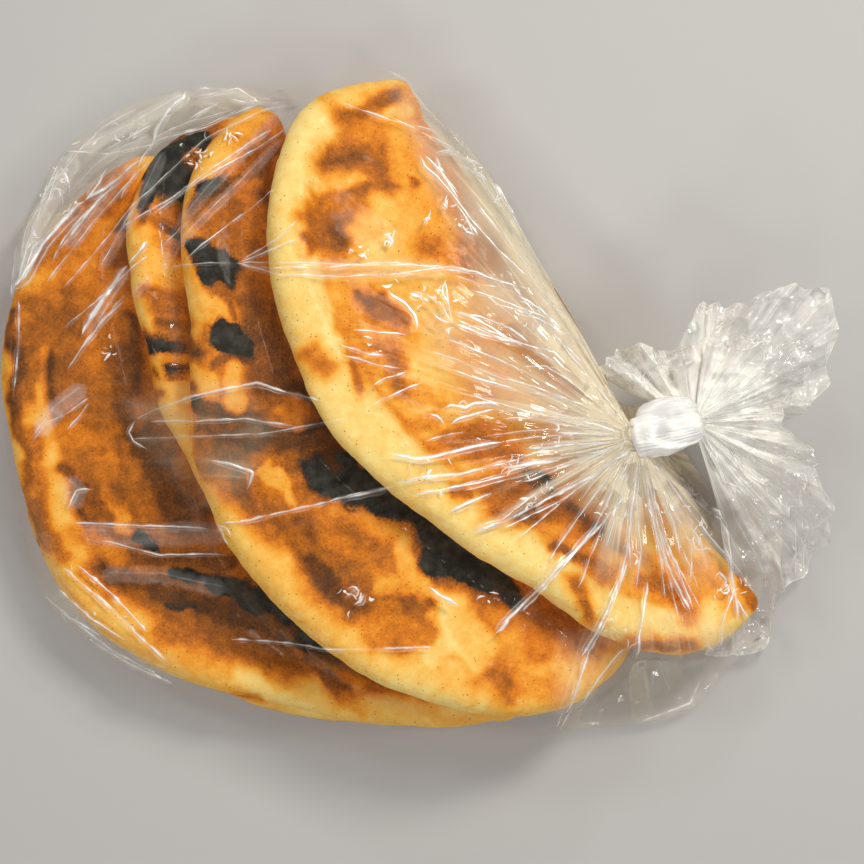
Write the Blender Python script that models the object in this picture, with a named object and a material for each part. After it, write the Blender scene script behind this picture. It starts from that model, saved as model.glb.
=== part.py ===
"""A clear bag of three folded flatbreads, tied with an overhand knot and lying flat.

Each bread is a round of pizza dough folded in half. The three half moons lie like fallen
dominoes, from the lowest at the lower left to the highest at the upper right. The film
is drawn over them, gathers to a knot at the folds' side, and opens beyond it as a frill.
The bag is one closed solid with its real outer form. Lengths are in metres, +Z is up,
and the origin is under the middle of the bag, on the surface that it lies on.
"""

import math
from dataclasses import dataclass

import bmesh
import bpy
import numpy as np
from mathutils import Vector
from mathutils.bvhtree import BVHTree
from mathutils.noise import noise

# Dough
FLAP = 0.010
RIM = 0.016
RIM_FADE = 0.014
FOLD_RADIUS = 0.0076
DISC_INTERIOR = 0.40
DISC_RIM_END = 0.60

# Film
SLACK = 0.0012
TAUT = 0.24
TAUT_NEAR_KNOT = 0.05
DRAPE_CELL = 0.003
DRAPE_REACH = 0.186
DRAPE_SOFTENING = 1
SKY = 0.3
EDGE_ROUND = 0.010
EDGE_SQUARENESS = 2.4
LEAST_EDGE = 0.006
MOST_EDGE = 0.016
LEAST_HEIGHT = 0.008
PLEATS = 15
PLEAT_HEIGHT = 0.0026
PLEAT_REACH = 0.042
PLEAT_DRIFT = 0.4
CRUMPLE_HEIGHT = 0.0016
CRUMPLE_SIZE = 0.030

# Where the gathered film enters the knot, and the knot's far end
MOUTH = Vector((0.0805, -0.0150, 0.052))
KNOT_END = Vector((0.1100, -0.0040, 0.057))
KNOT_RADIUS = 0.0092
BARREL_MIDDLE = 0.54
BARREL_HALF = 0.57
BARREL_RIDGE = 0.10
BARREL_TURNS = 2.5
BARREL_SPOKES = 20
BARREL_RINGS = 14
LOOP_RADIUS = 0.0080
LOOP_CORD = 0.0040
LOOP_LEAN = 0.0050
LOOP_LIFT = 0.0023
LOOP_POINTS = 14

# The outline of the lying bag, counter-clockwise from above the knot
BAG_OUTLINE = (
    (0.103, 0.005), (0.083, 0.007), (0.057, 0.049), (0.024, 0.103), (0.007, 0.123),
    (-0.009, 0.137), (-0.024, 0.139), (-0.051, 0.132), (-0.078, 0.134), (-0.113, 0.130),
    (-0.142, 0.115), (-0.156, 0.098), (-0.167, 0.067), (-0.172, 0.032), (-0.171, 0.003),
    (-0.166, -0.038), (-0.160, -0.063), (-0.154, -0.080), (-0.144, -0.091),
    (-0.109, -0.113), (-0.055, -0.130), (0.003, -0.138), (0.057, -0.135),
    (0.111, -0.127), (0.121, -0.117), (0.141, -0.080), (0.136, -0.063), (0.118, -0.020),
)

# The frill: how far it reaches from the knot, and how high its edge is, by direction
FRILL_TURN = (-66, -58, -50, -39, -27, -20, -9, 8, 17, 28, 43, 54, 69, 86, 96, 129, 152)
FRILL_REACH = (
    0.103, 0.094, 0.079, 0.077, 0.069, 0.061, 0.041, 0.044,
    0.055, 0.060, 0.074, 0.065, 0.048, 0.044, 0.031, 0.037, 0.040,
)
FRILL_EDGE = (
    0.008, 0.009, 0.012, 0.016, 0.020, 0.024, 0.030, 0.032,
    0.036, 0.040, 0.048, 0.050, 0.050, 0.050, 0.048, 0.042, 0.038,
)
FRILL_CURL = 14
FRILL_THICKNESS = 0.0016
FRILL_PLEATS = 9
FRILL_WAVE = 0.0150
FRILL_CRUMPLE = 0.0045
FRILL_CRUMPLE_SIZE = 0.019
FRILL_ROOT = 0.0035
FRILL_SPOKES = 74
FRILL_RINGS = 10
FRILL_START = 0.004

BODY_SPOKES = 168
BODY_TOP_RINGS = 74
BODY_EDGE_RINGS = 8
BODY_BASE_RINGS = 10
BODY_TRIANGLES_KEPT = 0.20
GUIDE_SPOKES = 72
GUIDE_RINGS = 48


@dataclass(frozen=True)
class Bread:
    """One folded flatbread: its fold line in plan, its flaps' reach and its lie."""

    fold_start: tuple
    fold_end: tuple
    reach: tuple  # upper flap, from one end of the fold to the other, every 15 degrees
    under_reach: tuple  # lower flap, likewise
    lie: tuple  # pairs of distance from the fold and height of the mid-plane


BREADS = (
    Bread(
        fold_start=(-0.113, 0.106),
        fold_end=(0.043, -0.128),
        reach=(0.138, 0.141, 0.139, 0.134, 0.128, 0.128, 0.128, 0.121, 0.115, 0.113, 0.117, 0.126, 0.138),
        under_reach=(0.138, 0.142, 0.141, 0.136, 0.131, 0.132, 0.131, 0.124, 0.118, 0.117, 0.120, 0.128, 0.138),
        lie=((0.0, 0.0162), (0.06, 0.0162), (0.14, 0.0166)),
    ),
    Bread(
        fold_start=(-0.068, 0.126),
        fold_end=(0.087, -0.101),
        reach=(0.136, 0.134, 0.118, 0.104, 0.101, 0.105, 0.108, 0.111, 0.117, 0.125, 0.135, 0.143, 0.136),
        under_reach=(0.136, 0.147, 0.141, 0.125, 0.116, 0.109, 0.107, 0.109, 0.115, 0.123, 0.133, 0.141, 0.136),
        lie=((0.0, 0.0145), (0.012, 0.018), (0.040, 0.034), (0.070, 0.0450), (0.108, 0.0470)),
    ),
    Bread(
        fold_start=(-0.010, 0.134),
        fold_end=(0.135, -0.079),
        reach=(0.127, 0.144, 0.138, 0.126, 0.114, 0.105, 0.099, 0.096, 0.098, 0.102, 0.117, 0.131, 0.127),
        under_reach=(0.127, 0.139, 0.131, 0.119, 0.107, 0.098, 0.092, 0.089, 0.091, 0.096, 0.110, 0.126, 0.127),
        lie=((0.0, 0.0145), (0.020, 0.023), (0.066, 0.0455), (0.100, 0.0620)),
    ),
)


def smooth_through(keys, values, at):
    """Values at the places asked for, on a smooth curve through the given ones."""
    keys, values, at = (np.asarray(x, float) for x in (keys, values, at))
    slopes = np.gradient(values, keys)
    at = np.clip(at, keys[0], keys[-1])
    cell = np.clip(np.searchsorted(keys, at, side="right") - 1, 0, len(keys) - 2)
    width = keys[cell + 1] - keys[cell]
    t = (at - keys[cell]) / width
    return (
        (1 + 2 * t) * (1 - t) ** 2 * values[cell]
        + t * (1 - t) ** 2 * width * slopes[cell]
        + t**2 * (3 - 2 * t) * values[cell + 1]
        - t**2 * (1 - t) * width * slopes[cell + 1]
    )


def closed_curve(points, count):
    """Evenly spaced points on a smooth closed curve through the given ones."""
    corners = np.array(points)
    wrapped = np.vstack([corners[-3:], corners, corners[:4]])
    steps = np.sqrt(np.linalg.norm(np.diff(wrapped, axis=0), axis=1))
    keys = np.concatenate([[0], np.cumsum(steps)])
    first, last = keys[3], keys[3 + len(corners)]
    dense = np.linspace(first, last, 4000)
    curve = np.stack([smooth_through(keys, wrapped[:, i], dense) for i in (0, 1)], axis=1)
    run = np.concatenate([[0], np.cumsum(np.linalg.norm(np.diff(curve, axis=0), axis=1))])
    even = np.arange(count) / count * run[-1]
    return np.stack([np.interp(even, run, curve[:, i]) for i in (0, 1)], axis=1)


def ball(spokes, rings):
    """A closed ball mesh, with each vertex's share of a turn and share of the way down."""
    mesh = bmesh.new()
    bmesh.ops.create_uvsphere(mesh, u_segments=spokes, v_segments=rings, radius=1)
    points = np.array([vertex.co for vertex in mesh.verts])
    turn = np.arctan2(points[:, 1], points[:, 0]) / (2 * math.pi) % 1
    sweep = np.arccos(np.clip(points[:, 2], -1, 1)) / math.pi
    return mesh, turn, sweep


def move_to(mesh, points):
    """Puts the vertices of a mesh at the given places."""
    for vertex, point in zip(mesh.verts, points):
        vertex.co = point


def rim_profile(depth):
    """Half the thickness of one flap at a distance in from its edge."""
    bulge = np.sqrt(np.clip(1 - (1 - depth / (RIM / 2)) ** 2, 0, 1)) * RIM / 2
    fade = np.clip((depth - RIM / 2) / RIM_FADE, 0, 1)
    inside = RIM / 2 + (FLAP - RIM) / 2 * fade * fade * (3 - 2 * fade)
    return np.where(depth < RIM / 2, bulge, inside)


def folded_bread(bread, turn, sweep):
    """Places on the skin of one bread, from places on a ball.

    The ball's upper half becomes the outer face of a round of dough and its lower half
    the inner face. The round is then folded about its middle line and laid down.
    """
    angle = 2 * math.pi * turn
    keys = np.radians(np.arange(0, 181, 15))
    folded = np.where(angle > math.pi, 2 * math.pi - angle, angle)
    upper = smooth_through(keys, bread.reach, folded)
    lower = smooth_through(keys, bread.under_reach, folded)
    reach = np.where(angle > math.pi, lower, upper)

    outer = sweep < DISC_INTERIOR
    inner = sweep > DISC_RIM_END
    around = (sweep - DISC_INTERIOR) / (DISC_RIM_END - DISC_INTERIOR) * math.pi
    share = np.where(outer, sweep / DISC_INTERIOR, np.where(inner, (1 - sweep) / (1 - DISC_RIM_END), 1))
    radius = share * (reach - RIM / 2)
    radius = np.where(outer | inner, radius, reach - RIM / 2 + RIM / 2 * np.sin(around))
    half = rim_profile(reach - radius)
    side = np.where(outer, 1, np.where(inner, -1, np.cos(around)))
    lift = np.where(outer | inner, side * half, side * RIM / 2)

    along = -radius * np.cos(angle)
    across = radius * np.sin(angle)
    bend = FOLD_RADIUS * math.pi / 2
    start = FOLD_RADIUS + FLAP / 2
    turned = np.clip(across, -bend, bend) / FOLD_RADIUS
    past = np.abs(across) - bend
    out = np.where(past > 0, start + past, start - FOLD_RADIUS * np.cos(turned))
    height = np.where(past > 0, np.sign(across) * FOLD_RADIUS, FOLD_RADIUS * np.sin(turned))
    out = out - np.where(past > 0, 0, np.cos(turned)) * lift
    height = height + np.where(past > 0, np.sign(across), np.sin(turned)) * lift

    begin, end = Vector(bread.fold_start), Vector(bread.fold_end)
    middle = (begin + end) / 2
    line = (end - begin).normalized()
    away = Vector((line.y, -line.x))
    keys, heights = zip(*bread.lie)
    base = smooth_through(keys, heights, out)
    slope = (smooth_through(keys, heights, out + 0.002) - smooth_through(keys, heights, out - 0.002)) / 0.004
    tilt = np.arctan(slope)
    out = out - np.sin(tilt) * height
    return np.stack(
        [
            middle.x + along * line.x + out * away.x,
            middle.y + along * line.y + out * away.y,
            base + np.cos(tilt) * height,
        ],
        axis=1,
    )


def widened(grid):
    """A height grid in which each cell takes the highest of itself and its neighbours."""
    for axis in (0, 1):
        grid = np.maximum(grid, np.maximum(np.roll(grid, 1, axis), np.roll(grid, -1, axis)))
    return grid


def softened(grid):
    """A height grid with each cell averaged with its neighbours."""
    for axis in (0, 1):
        grid = (np.roll(grid, 1, axis) + 2 * grid + np.roll(grid, -1, axis)) / 4
    return grid


def contents_grid():
    """How high the breads lie under the film, on a square grid seen from above."""
    trees = []
    for bread in BREADS:
        mesh, turn, sweep = ball(GUIDE_SPOKES, GUIDE_RINGS)
        move_to(mesh, folded_bread(bread, turn, sweep))
        trees.append(BVHTree.FromBMesh(mesh))
        mesh.free()
    line = np.arange(-DRAPE_REACH, DRAPE_REACH, DRAPE_CELL)
    down = Vector((0, 0, -1))
    grid = np.zeros((len(line), len(line)))
    for i, x in enumerate(line):
        for j, y in enumerate(line):
            hits = [tree.ray_cast(Vector((x, y, SKY)), down)[0] for tree in trees]
            grid[i, j] = max([hit.z for hit in hits if hit], default=0.0)
    grid = widened(grid)
    for _ in range(DRAPE_SOFTENING):
        grid = softened(grid)
    return grid


def read_grid(grid, places):
    """Heights read from the square grid at the given places, blended between its cells."""
    spot = (np.asarray(places) + DRAPE_REACH) / DRAPE_CELL
    cell = np.clip(np.floor(spot).astype(int), 0, len(grid) - 2)
    x, y = (spot - cell).T
    i, j = cell.T
    return (
        grid[i, j] * (1 - x) * (1 - y)
        + grid[i + 1, j] * x * (1 - y)
        + grid[i, j + 1] * (1 - x) * y
        + grid[i + 1, j + 1] * x * y
    )


def pulled_straight(run, heights):
    """The heights of a string pulled tight over the given heights."""
    hull = [0]
    for i in range(1, len(run)):
        while len(hull) > 1:
            a, b = hull[-2], hull[-1]
            cross = (run[b] - run[a]) * (heights[i] - heights[a])
            if cross < (heights[b] - heights[a]) * (run[i] - run[a]):
                break
            hull.pop()
        hull.append(i)
    return np.interp(run, run[hull], heights[hull])


def ridged(value):
    """A folded wave between 0 and 1 with sharp crests, one for each whole number."""
    return 1 - 2 * np.abs(value % 1 - 0.5)


def crumple(x, y, size):
    """Sharp-edged unevenness between about -1 and 1."""
    first = noise(Vector((x / size, y / size, 0.3)))
    second = noise(Vector((x / size * 1.9, y / size * 1.9, 7.1)))
    return 1 - 2 * abs(first) * 2 + 0.6 * (0.5 - 2 * abs(second))


def film_heights(outline, shares):
    """Heights of the film's upper side, for each ray from the mouth and share along it."""
    contents = contents_grid()
    mouth = np.array(MOUTH[:2])
    heights = np.zeros((len(outline), len(shares)))
    for i, end in enumerate(outline):
        run = shares * np.linalg.norm(end - mouth)
        places = mouth + shares[:, None] * (end - mouth)
        lying = np.maximum(read_grid(contents, places) + SLACK, LEAST_HEIGHT)
        lying[0] = MOUTH.z
        tight = pulled_straight(run, lying)
        share = TAUT + (1 - TAUT) * np.exp(-run / TAUT_NEAR_KNOT)
        heights[i] = lying + share * (tight - lying)
        heights[i, 0] = MOUTH.z
    for _ in range(2):
        heights = (np.roll(heights, 1, 0) + 2 * heights + np.roll(heights, -1, 0)) / 4
    return heights


def edge_bow(inward):
    """How far an edge has rounded over, from 0 at the outline to 1, by share of the way in."""
    return (1 - (1 - inward) ** EDGE_SQUARENESS) ** (1 / EDGE_SQUARENESS)


def bag_body():
    """The filled part of the bag: a ball drawn out to the bag's outline and heights."""
    rings = BODY_TOP_RINGS + BODY_EDGE_RINGS * 2 + BODY_BASE_RINGS
    mesh, turn, sweep = ball(BODY_SPOKES, rings)
    spoke = np.rint(turn * BODY_SPOKES).astype(int) % BODY_SPOKES
    ring = np.rint(sweep * rings).astype(int)
    outline = closed_curve(BAG_OUTLINE, BODY_SPOKES)
    mouth = np.array(MOUTH[:2])
    middle = outline.mean(axis=0)
    length = np.linalg.norm(outline - mouth, axis=1)
    shares = np.linspace(0, 1, BODY_TOP_RINGS + 1)
    inner_ends = mouth + (outline - mouth) * (1 - EDGE_ROUND / length)[:, None]
    top = film_heights(inner_ends, shares)
    angle = np.unwrap(np.arctan2(*(outline - mouth).T[::-1]))
    shoulder = top[:, -1]
    edge = np.clip(shoulder / 2, LEAST_EDGE, MOST_EDGE)

    points = []
    for i, j in zip(spoke, ring):
        past_top = j - BODY_TOP_RINGS
        past_edge = past_top - 2 * BODY_EDGE_RINGS
        if past_top <= 0:
            place = mouth + (inner_ends[i] - mouth) * shares[j]
            run = shares[j] * length[i]
            fade = run / PLEAT_REACH * math.exp(1 - run / PLEAT_REACH)
            pleat = ridged(PLEATS * angle[i] / (2 * math.pi) + PLEAT_DRIFT * math.sin(5 * angle[i]))
            height = top[i, j] + PLEAT_HEIGHT * fade * (pleat - 0.3)
            height += CRUMPLE_HEIGHT * crumple(*place, CRUMPLE_SIZE) * min(1, run / PLEAT_REACH)
        else:
            step = min(past_top / BODY_EDGE_RINGS, 2)
            inward = 1 - math.cos(abs(step - 1) * math.pi / 2)
            place = outline[i] + (inner_ends[i] - outline[i]) * inward
            rise = shoulder[i] - edge[i] if step < 1 else -edge[i]
            height = edge[i] + rise * edge_bow(inward)
        if past_edge > 0:
            place = place + (middle - place) * past_edge / BODY_BASE_RINGS
        points.append((*place, height))
    move_to(mesh, points)
    return mesh


def object_from(mesh, name, collection, material=None):
    """A new object that holds the given mesh."""
    data = bpy.data.meshes.new(name)
    mesh.to_mesh(data)
    mesh.free()
    made = bpy.data.objects.new(name, data)
    if material:
        data.materials.append(material)
    collection.objects.link(made)
    return made


def knot_axes():
    """The knot's direction, the direction across it and the one over it."""
    axis = (KNOT_END - MOUTH).normalized()
    side = axis.cross(Vector((0, 0, 1))).normalized()
    return axis, side, side.cross(axis).normalized()


def knot_barrel():
    """The drawn-tight barrel of the knot, ridged by its turns, as a ball drawn out."""
    mesh, turn, sweep = ball(BARREL_SPOKES, BARREL_RINGS)
    length = (KNOT_END - MOUTH).length
    axis, side, over = knot_axes()
    points = []
    for t, s in zip(turn, sweep):
        along = BARREL_MIDDLE - BARREL_HALF * math.cos(math.pi * s)
        ridge = 1 + BARREL_RIDGE * math.cos(2 * math.pi * (BARREL_TURNS * along + t))
        radius = KNOT_RADIUS * ridge * math.sin(math.pi * s) ** 0.6
        angle = 2 * math.pi * t
        around = side * math.cos(angle) + over * math.sin(angle)
        points.append(MOUTH + axis * length * along + around * radius)
    move_to(mesh, points)
    return mesh


def knot_loop(collection):
    """The turn of film that stands up over the barrel, as a short bevelled curve."""
    axis, side, over = knot_axes()
    centre = (MOUTH + KNOT_END) / 2 + over * LOOP_LIFT
    curve = bpy.data.curves.new("knot_loop", "CURVE")
    curve.dimensions = "3D"
    curve.bevel_depth = LOOP_CORD
    curve.bevel_resolution = 1
    spline = curve.splines.new("POLY")
    spline.points.add(LOOP_POINTS - 1)
    spline.use_cyclic_u = True
    for i in range(LOOP_POINTS):
        angle = 2 * math.pi * i / LOOP_POINTS
        around = side * math.cos(angle) + over * math.sin(angle)
        spot = centre + around * LOOP_RADIUS + axis * LOOP_LEAN * math.sin(angle + 0.6)
        spline.points[i].co = (*spot, 1)
    loop = bpy.data.objects.new("knot_loop_curve", curve)
    collection.objects.link(loop)
    bpy.context.view_layer.update()
    data = bpy.data.meshes.new_from_object(loop.evaluated_get(bpy.context.evaluated_depsgraph_get()))
    bpy.data.objects.remove(loop)
    mesh = bmesh.new()
    mesh.from_mesh(data)
    bmesh.ops.remove_doubles(mesh, verts=mesh.verts, dist=0.00001)
    bpy.data.meshes.remove(data)
    return mesh


def frill_sheet():
    """The open end of the bag beyond the knot: a crumpled fan of pleats, one film thick."""
    mesh = bmesh.new()
    bmesh.ops.create_grid(mesh, x_segments=FRILL_SPOKES, y_segments=FRILL_RINGS, size=0.5)
    bmesh.ops.triangulate(mesh, faces=mesh.faces)
    start = KNOT_END - (KNOT_END - MOUTH).normalized() * FRILL_START
    for vertex in mesh.verts:
        across, out = vertex.co.x + 0.5, vertex.co.y + 0.5
        turn = FRILL_TURN[-1] + (FRILL_TURN[0] - FRILL_TURN[-1]) * across
        reach = float(smooth_through(FRILL_TURN, FRILL_REACH, turn))
        edge = float(smooth_through(FRILL_TURN, FRILL_EDGE, turn))
        run = FRILL_ROOT + reach * out
        turn -= FRILL_CURL * out**3 * across**4
        x = start.x + run * math.cos(math.radians(turn))
        y = start.y + run * math.sin(math.radians(turn))
        fold = ridged(FRILL_PLEATS * across + 0.35 * math.sin(9 * across)) - 0.5
        wave = (FRILL_WAVE * fold + FRILL_CRUMPLE * crumple(x, y, FRILL_CRUMPLE_SIZE)) * out**0.7
        height = start.z + (edge - start.z) * out**0.8 + wave
        vertex.co = (x, y, max(height, FRILL_THICKNESS * 2))
    sheet = bmesh.ops.extrude_face_region(mesh, geom=list(mesh.faces), use_keep_orig=True)
    lower = [part for part in sheet["geom"] if isinstance(part, bmesh.types.BMVert)]
    bmesh.ops.translate(mesh, verts=lower, vec=(0, 0, -FRILL_THICKNESS))
    bmesh.ops.recalc_face_normals(mesh, faces=mesh.faces)
    return mesh


def film_material():
    """Thin clear polythene with a slight milky haze."""
    made = bpy.data.materials.new("clear_film")
    made.use_nodes = True
    shader = made.node_tree.nodes["Principled BSDF"]
    shader.inputs["Base Color"].default_value = (0.72, 0.52, 0.30, 1)
    shader.inputs["Roughness"].default_value = 0.15
    shader.inputs["Metallic"].default_value = 0.0
    return made


def apply_modifiers(made):
    """Makes what an object's modifiers show its own mesh."""
    graph = bpy.context.evaluated_depsgraph_get()
    data = bpy.data.meshes.new_from_object(made.evaluated_get(graph))
    made.modifiers.clear()
    made.data = data


def build():
    """Builds the whole bag as one closed solid."""
    for old in list(bpy.data.objects):
        bpy.data.objects.remove(old, do_unlink=True)
    bag_parts = bpy.data.collections.new("tied_bread_bag")
    helpers = bpy.data.collections.new("bag_helpers")
    bpy.context.scene.collection.children.link(bag_parts)
    bpy.context.scene.collection.children.link(helpers)

    bag = object_from(bag_body(), "bag", bag_parts, film_material())
    thin = bag.modifiers.new("fewer_faces", "DECIMATE")
    thin.ratio = BODY_TRIANGLES_KEPT
    apply_modifiers(bag)

    barrel = object_from(knot_barrel(), "knot_barrel", helpers)
    loop = object_from(knot_loop(helpers), "knot_loop", helpers)
    frill = object_from(frill_sheet(), "frill", helpers)
    for helper in (barrel, loop, frill):
        helper.hide_render = True
        helper.display_type = "WIRE"
    union = bag.modifiers.new("knot_and_frill", "BOOLEAN")
    union.operation = "UNION"
    union.operand_type = "COLLECTION"
    union.collection = helpers
    union.solver = "EXACT"
    bpy.context.view_layer.update()
    apply_modifiers(bag)
    for helper in (barrel, loop, frill):
        bpy.data.objects.remove(helper)
    bag.data.shade_smooth()
    bag.data.set_sharp_from_angle(angle=math.radians(35))


build()
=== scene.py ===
"""Looks of a tied clear bag of three folded flatbreads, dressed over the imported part.

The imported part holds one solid, the filled bag. Here it gives way to what it stands for:
three folded, charred breads that lie like fallen dominoes, and the clear film that is
drawn over them, gathers in a knot and opens beyond it as a frill. Lengths are in metres
where no name says mm. +Z is up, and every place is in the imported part's own frame.
"""

import logging
import math
from dataclasses import dataclass
from enum import Enum
from itertools import product

import bpy
import numpy as np
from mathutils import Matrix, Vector
from mathutils.bvhtree import BVHTree


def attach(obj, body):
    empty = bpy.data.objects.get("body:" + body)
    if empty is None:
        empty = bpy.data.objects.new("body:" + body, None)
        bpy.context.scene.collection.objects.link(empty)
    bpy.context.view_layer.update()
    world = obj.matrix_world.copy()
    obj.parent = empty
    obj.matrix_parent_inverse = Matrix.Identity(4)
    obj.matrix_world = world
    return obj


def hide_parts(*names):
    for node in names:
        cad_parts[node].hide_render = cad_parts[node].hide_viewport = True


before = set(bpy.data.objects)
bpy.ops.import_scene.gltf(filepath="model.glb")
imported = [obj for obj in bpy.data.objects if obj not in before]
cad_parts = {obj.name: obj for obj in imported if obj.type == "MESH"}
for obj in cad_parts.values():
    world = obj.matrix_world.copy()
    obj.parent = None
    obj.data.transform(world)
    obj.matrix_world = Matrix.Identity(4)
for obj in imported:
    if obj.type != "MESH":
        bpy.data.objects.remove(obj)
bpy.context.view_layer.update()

Array = np.ndarray
Place = tuple[float, float]  # x and y in plan
Pair = tuple[float, float]  # two numbers that belong together
MM = 0.001
PER_METRE = 1000  # mm
BODY = "root"
NODE = "bag"
RAY_START = 0.2  # a height above all of the bag
FOLD_LIFT = 0.5  # mm that a fold stands off the film
log = logging.getLogger("bread_bag")


def linear(colour: str) -> tuple[float, float, float, float]:
    """Turns an sRGB hex colour into the linear values that shaders and lights take.

    Args:
        colour: Six hex digits after a hash.

    Returns:
        Linear red, green and blue, and an alpha of one.
    """
    shares = [int(colour[i : i + 2], 16) / 255 for i in (1, 3, 5)]
    red, green, blue = (c / 12.92 if c <= 0.04045 else ((c + 0.055) / 1.055) ** 2.4 for c in shares)
    return red, green, blue, 1.0


def add_node(
    tree: bpy.types.NodeTree, kind: str, sockets: dict | None = None, stops: tuple = (), **settings
) -> bpy.types.Node:
    """Adds one shader node with its settings and links.

    Args:
        tree: The node tree that gets the node.
        kind: The node's type name without its ShaderNode prefix.
        sockets: What each input gets, by its name or number: a value, an output socket, or
            another node, which gives its first output.
        stops: Place and hex colour of each stop, for a colour ramp.
        **settings: The node's own properties.

    Returns:
        The new node.
    """
    node = tree.nodes.new("ShaderNode" + kind)
    for name, value in settings.items():
        setattr(node, name, value)
    for key, value in (sockets or {}).items():
        source = value.outputs[0] if isinstance(value, bpy.types.Node) else value
        if isinstance(source, bpy.types.NodeSocket):
            tree.links.new(source, node.inputs[key])
        else:
            node.inputs[key].default_value = value
    for i, (place, colour) in enumerate(stops):
        elements = node.color_ramp.elements
        stop = elements[i] if i < 2 else elements.new(place)
        stop.position = place
        stop.color = linear(colour)
    return node


def bare_material(name: str) -> bpy.types.Material:
    """Makes a material without any node.

    Args:
        name: What the real material is and how its surface was made.

    Returns:
        The material, for its finish to fill.
    """
    made = bpy.data.materials.new(name)
    made.use_nodes = True
    made.node_tree.nodes.clear()
    return made


def smoothstep(low: float, high: float, value: Array) -> Array:
    """Rises smoothly from 0 at the low value to 1 at the high one."""
    t = np.clip((value - low) / (high - low), 0, 1)
    return t * t * (3 - 2 * t)


def smooth_through(keys: Array, values: Array, at: Array) -> Array:
    """Reads a smooth curve that passes through the given points.

    Args:
        keys: Rising places of the points.
        values: The curve's value at each of them.
        at: The places to read.

    Returns:
        The curve's values there.
    """
    keys, values, at = (np.asarray(x, float) for x in (keys, values, at))
    slopes = np.gradient(values, keys)
    at = np.clip(at, keys[0], keys[-1])
    cell = np.clip(np.searchsorted(keys, at, side="right") - 1, 0, len(keys) - 2)
    width = keys[cell + 1] - keys[cell]
    t = (at - keys[cell]) / width
    return (
        (1 + 2 * t) * (1 - t) ** 2 * values[cell]
        + t * (1 - t) ** 2 * width * slopes[cell]
        + t**2 * (3 - 2 * t) * values[cell + 1]
        - t**2 * (1 - t) * width * slopes[cell + 1]
    )


def unevenness(points: Array, size: float, seed: int) -> Array:
    """Smooth three-dimensional noise between -1 and 1.

    Args:
        points: Places, one a row, or a grid of them.
        size: The distance between its lattice points, in the places' own unit.
        seed: Which of the noises.

    Returns:
        One value for each place.
    """
    spot = points / size + 31.7 * seed
    cell = np.floor(spot).astype(np.int64)
    t = spot - cell
    t = t * t * t * (t * (t * 6 - 15) + 10)
    total = np.zeros(points.shape[:-1])
    for corner in product((0, 1), repeat=3):
        x, y, z = np.moveaxis(cell + corner, -1, 0)
        mixed = (x * 374761393 + y * 668265263 + z * 1440662683 + seed * 974634777) & 0xFFFFFFFF
        mixed = ((mixed ^ (mixed >> 13)) * 1274126177) & 0xFFFFFFFF
        mixed = ((mixed ^ (mixed >> 15)) * 2246822519) & 0xFFFFFFFF
        height = (mixed ^ (mixed >> 16)) / 0x7FFFFFFF - 1
        weight = np.prod(np.where(corner, t, 1 - t), axis=-1)
        total += height * weight
    return total


def surface_normals(points: Array) -> Array:
    """Directions square to a surface of closed rings.

    Args:
        points: The rings of points.

    Returns:
        A unit vector for each point.
    """
    down = np.gradient(points, axis=0)
    across = (np.roll(points, -1, axis=1) - np.roll(points, 1, axis=1)) / 2
    normal = np.cross(down, across)
    length = np.linalg.norm(normal, axis=-1, keepdims=True)
    return normal / np.maximum(length, 1e-12)


def new_piece(
    name: str, points: Array, faces: list, values: dict[str, Array] | None = None
) -> bpy.types.Object:
    """Makes a mesh object, smooth all over, with one value for each point where asked.

    Args:
        name: The piece's name.
        points: Places of its points.
        faces: Corner numbers of each face.
        values: Named values for the finish to read, one or three for each point.

    Returns:
        The new object, linked to the scene.
    """
    mesh = bpy.data.meshes.new(name)
    mesh.from_pydata(points.reshape(-1, 3), [], faces)
    for key, given in (values or {}).items():
        flat = given.reshape(len(mesh.vertices), -1)
        kind, slot = ("FLOAT", "value") if flat.shape[1] == 1 else ("FLOAT_VECTOR", "vector")
        mesh.attributes.new(key, kind, "POINT").data.foreach_set(slot, flat.astype(np.float32).ravel())
    mesh.shade_smooth()
    piece = bpy.data.objects.new(name, mesh)
    bpy.context.scene.collection.objects.link(piece)
    return piece


def capped(grid: Array, first: Array, last: Array) -> Array:
    """Points of a surface of closed rings between two end points, or values at them.

    Args:
        grid: Rings of points or of values.
        first: The first end's point or value.
        last: The last end's.

    Returns:
        All of them in one run, as the faces count them.
    """
    return np.concatenate([[first], grid.reshape(-1, *grid.shape[2:]), [last]])


def capped_faces(rings: int, spokes: int) -> list[tuple[int, ...]]:
    """Faces of a surface of closed rings between two single end points.

    The points are numbered ring by ring, with the first end before them and the last
    end after them.

    Args:
        rings: Number of rings between the ends.
        spokes: Number of points in each ring.

    Returns:
        The corners of every face.
    """
    faces = []
    last = 1 + rings * spokes
    for j in range(spokes):
        k = (j + 1) % spokes
        faces.append((0, 1 + j, 1 + k))
        for ring in range(1, last - spokes, spokes):
            faces.append((ring + j, ring + spokes + j, ring + spokes + k, ring + k))
        faces.append((last, last - spokes + k, last - spokes + j))
    return faces


class Baking(Enum):
    """How far the oven took a patch of crust, as its place on the toast scale; the darker steps also serve
    as painted shade.
    """

    CREAM = 0.05
    GOLD = 0.28
    ORANGE = 0.45
    BROWN = 0.64
    DARK = 0.82
    CHAR = 1.0


CREAM, GOLD, ORANGE, BROWN, DARK, CHAR = Baking
MARK_FADE = (0.4, 1.35)  # from which to which share of its radius a mark fades out
MARK_FRAY = 0.4  # how far noise shifts its border, likewise


def distance_from(places: Array, start: Array, end: Array) -> Array:
    """How far places lie from a straight line between two points.

    Args:
        places: Places in plan.
        start: One end of the line.
        end: Its other end, which may be the same point.

    Returns:
        The distances.
    """
    run = end - start
    share = np.clip(((places - start) @ run) / max(run @ run, 1e-9), 0, 1)
    return np.linalg.norm(places - start - share[..., None] * run, axis=-1)


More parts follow.
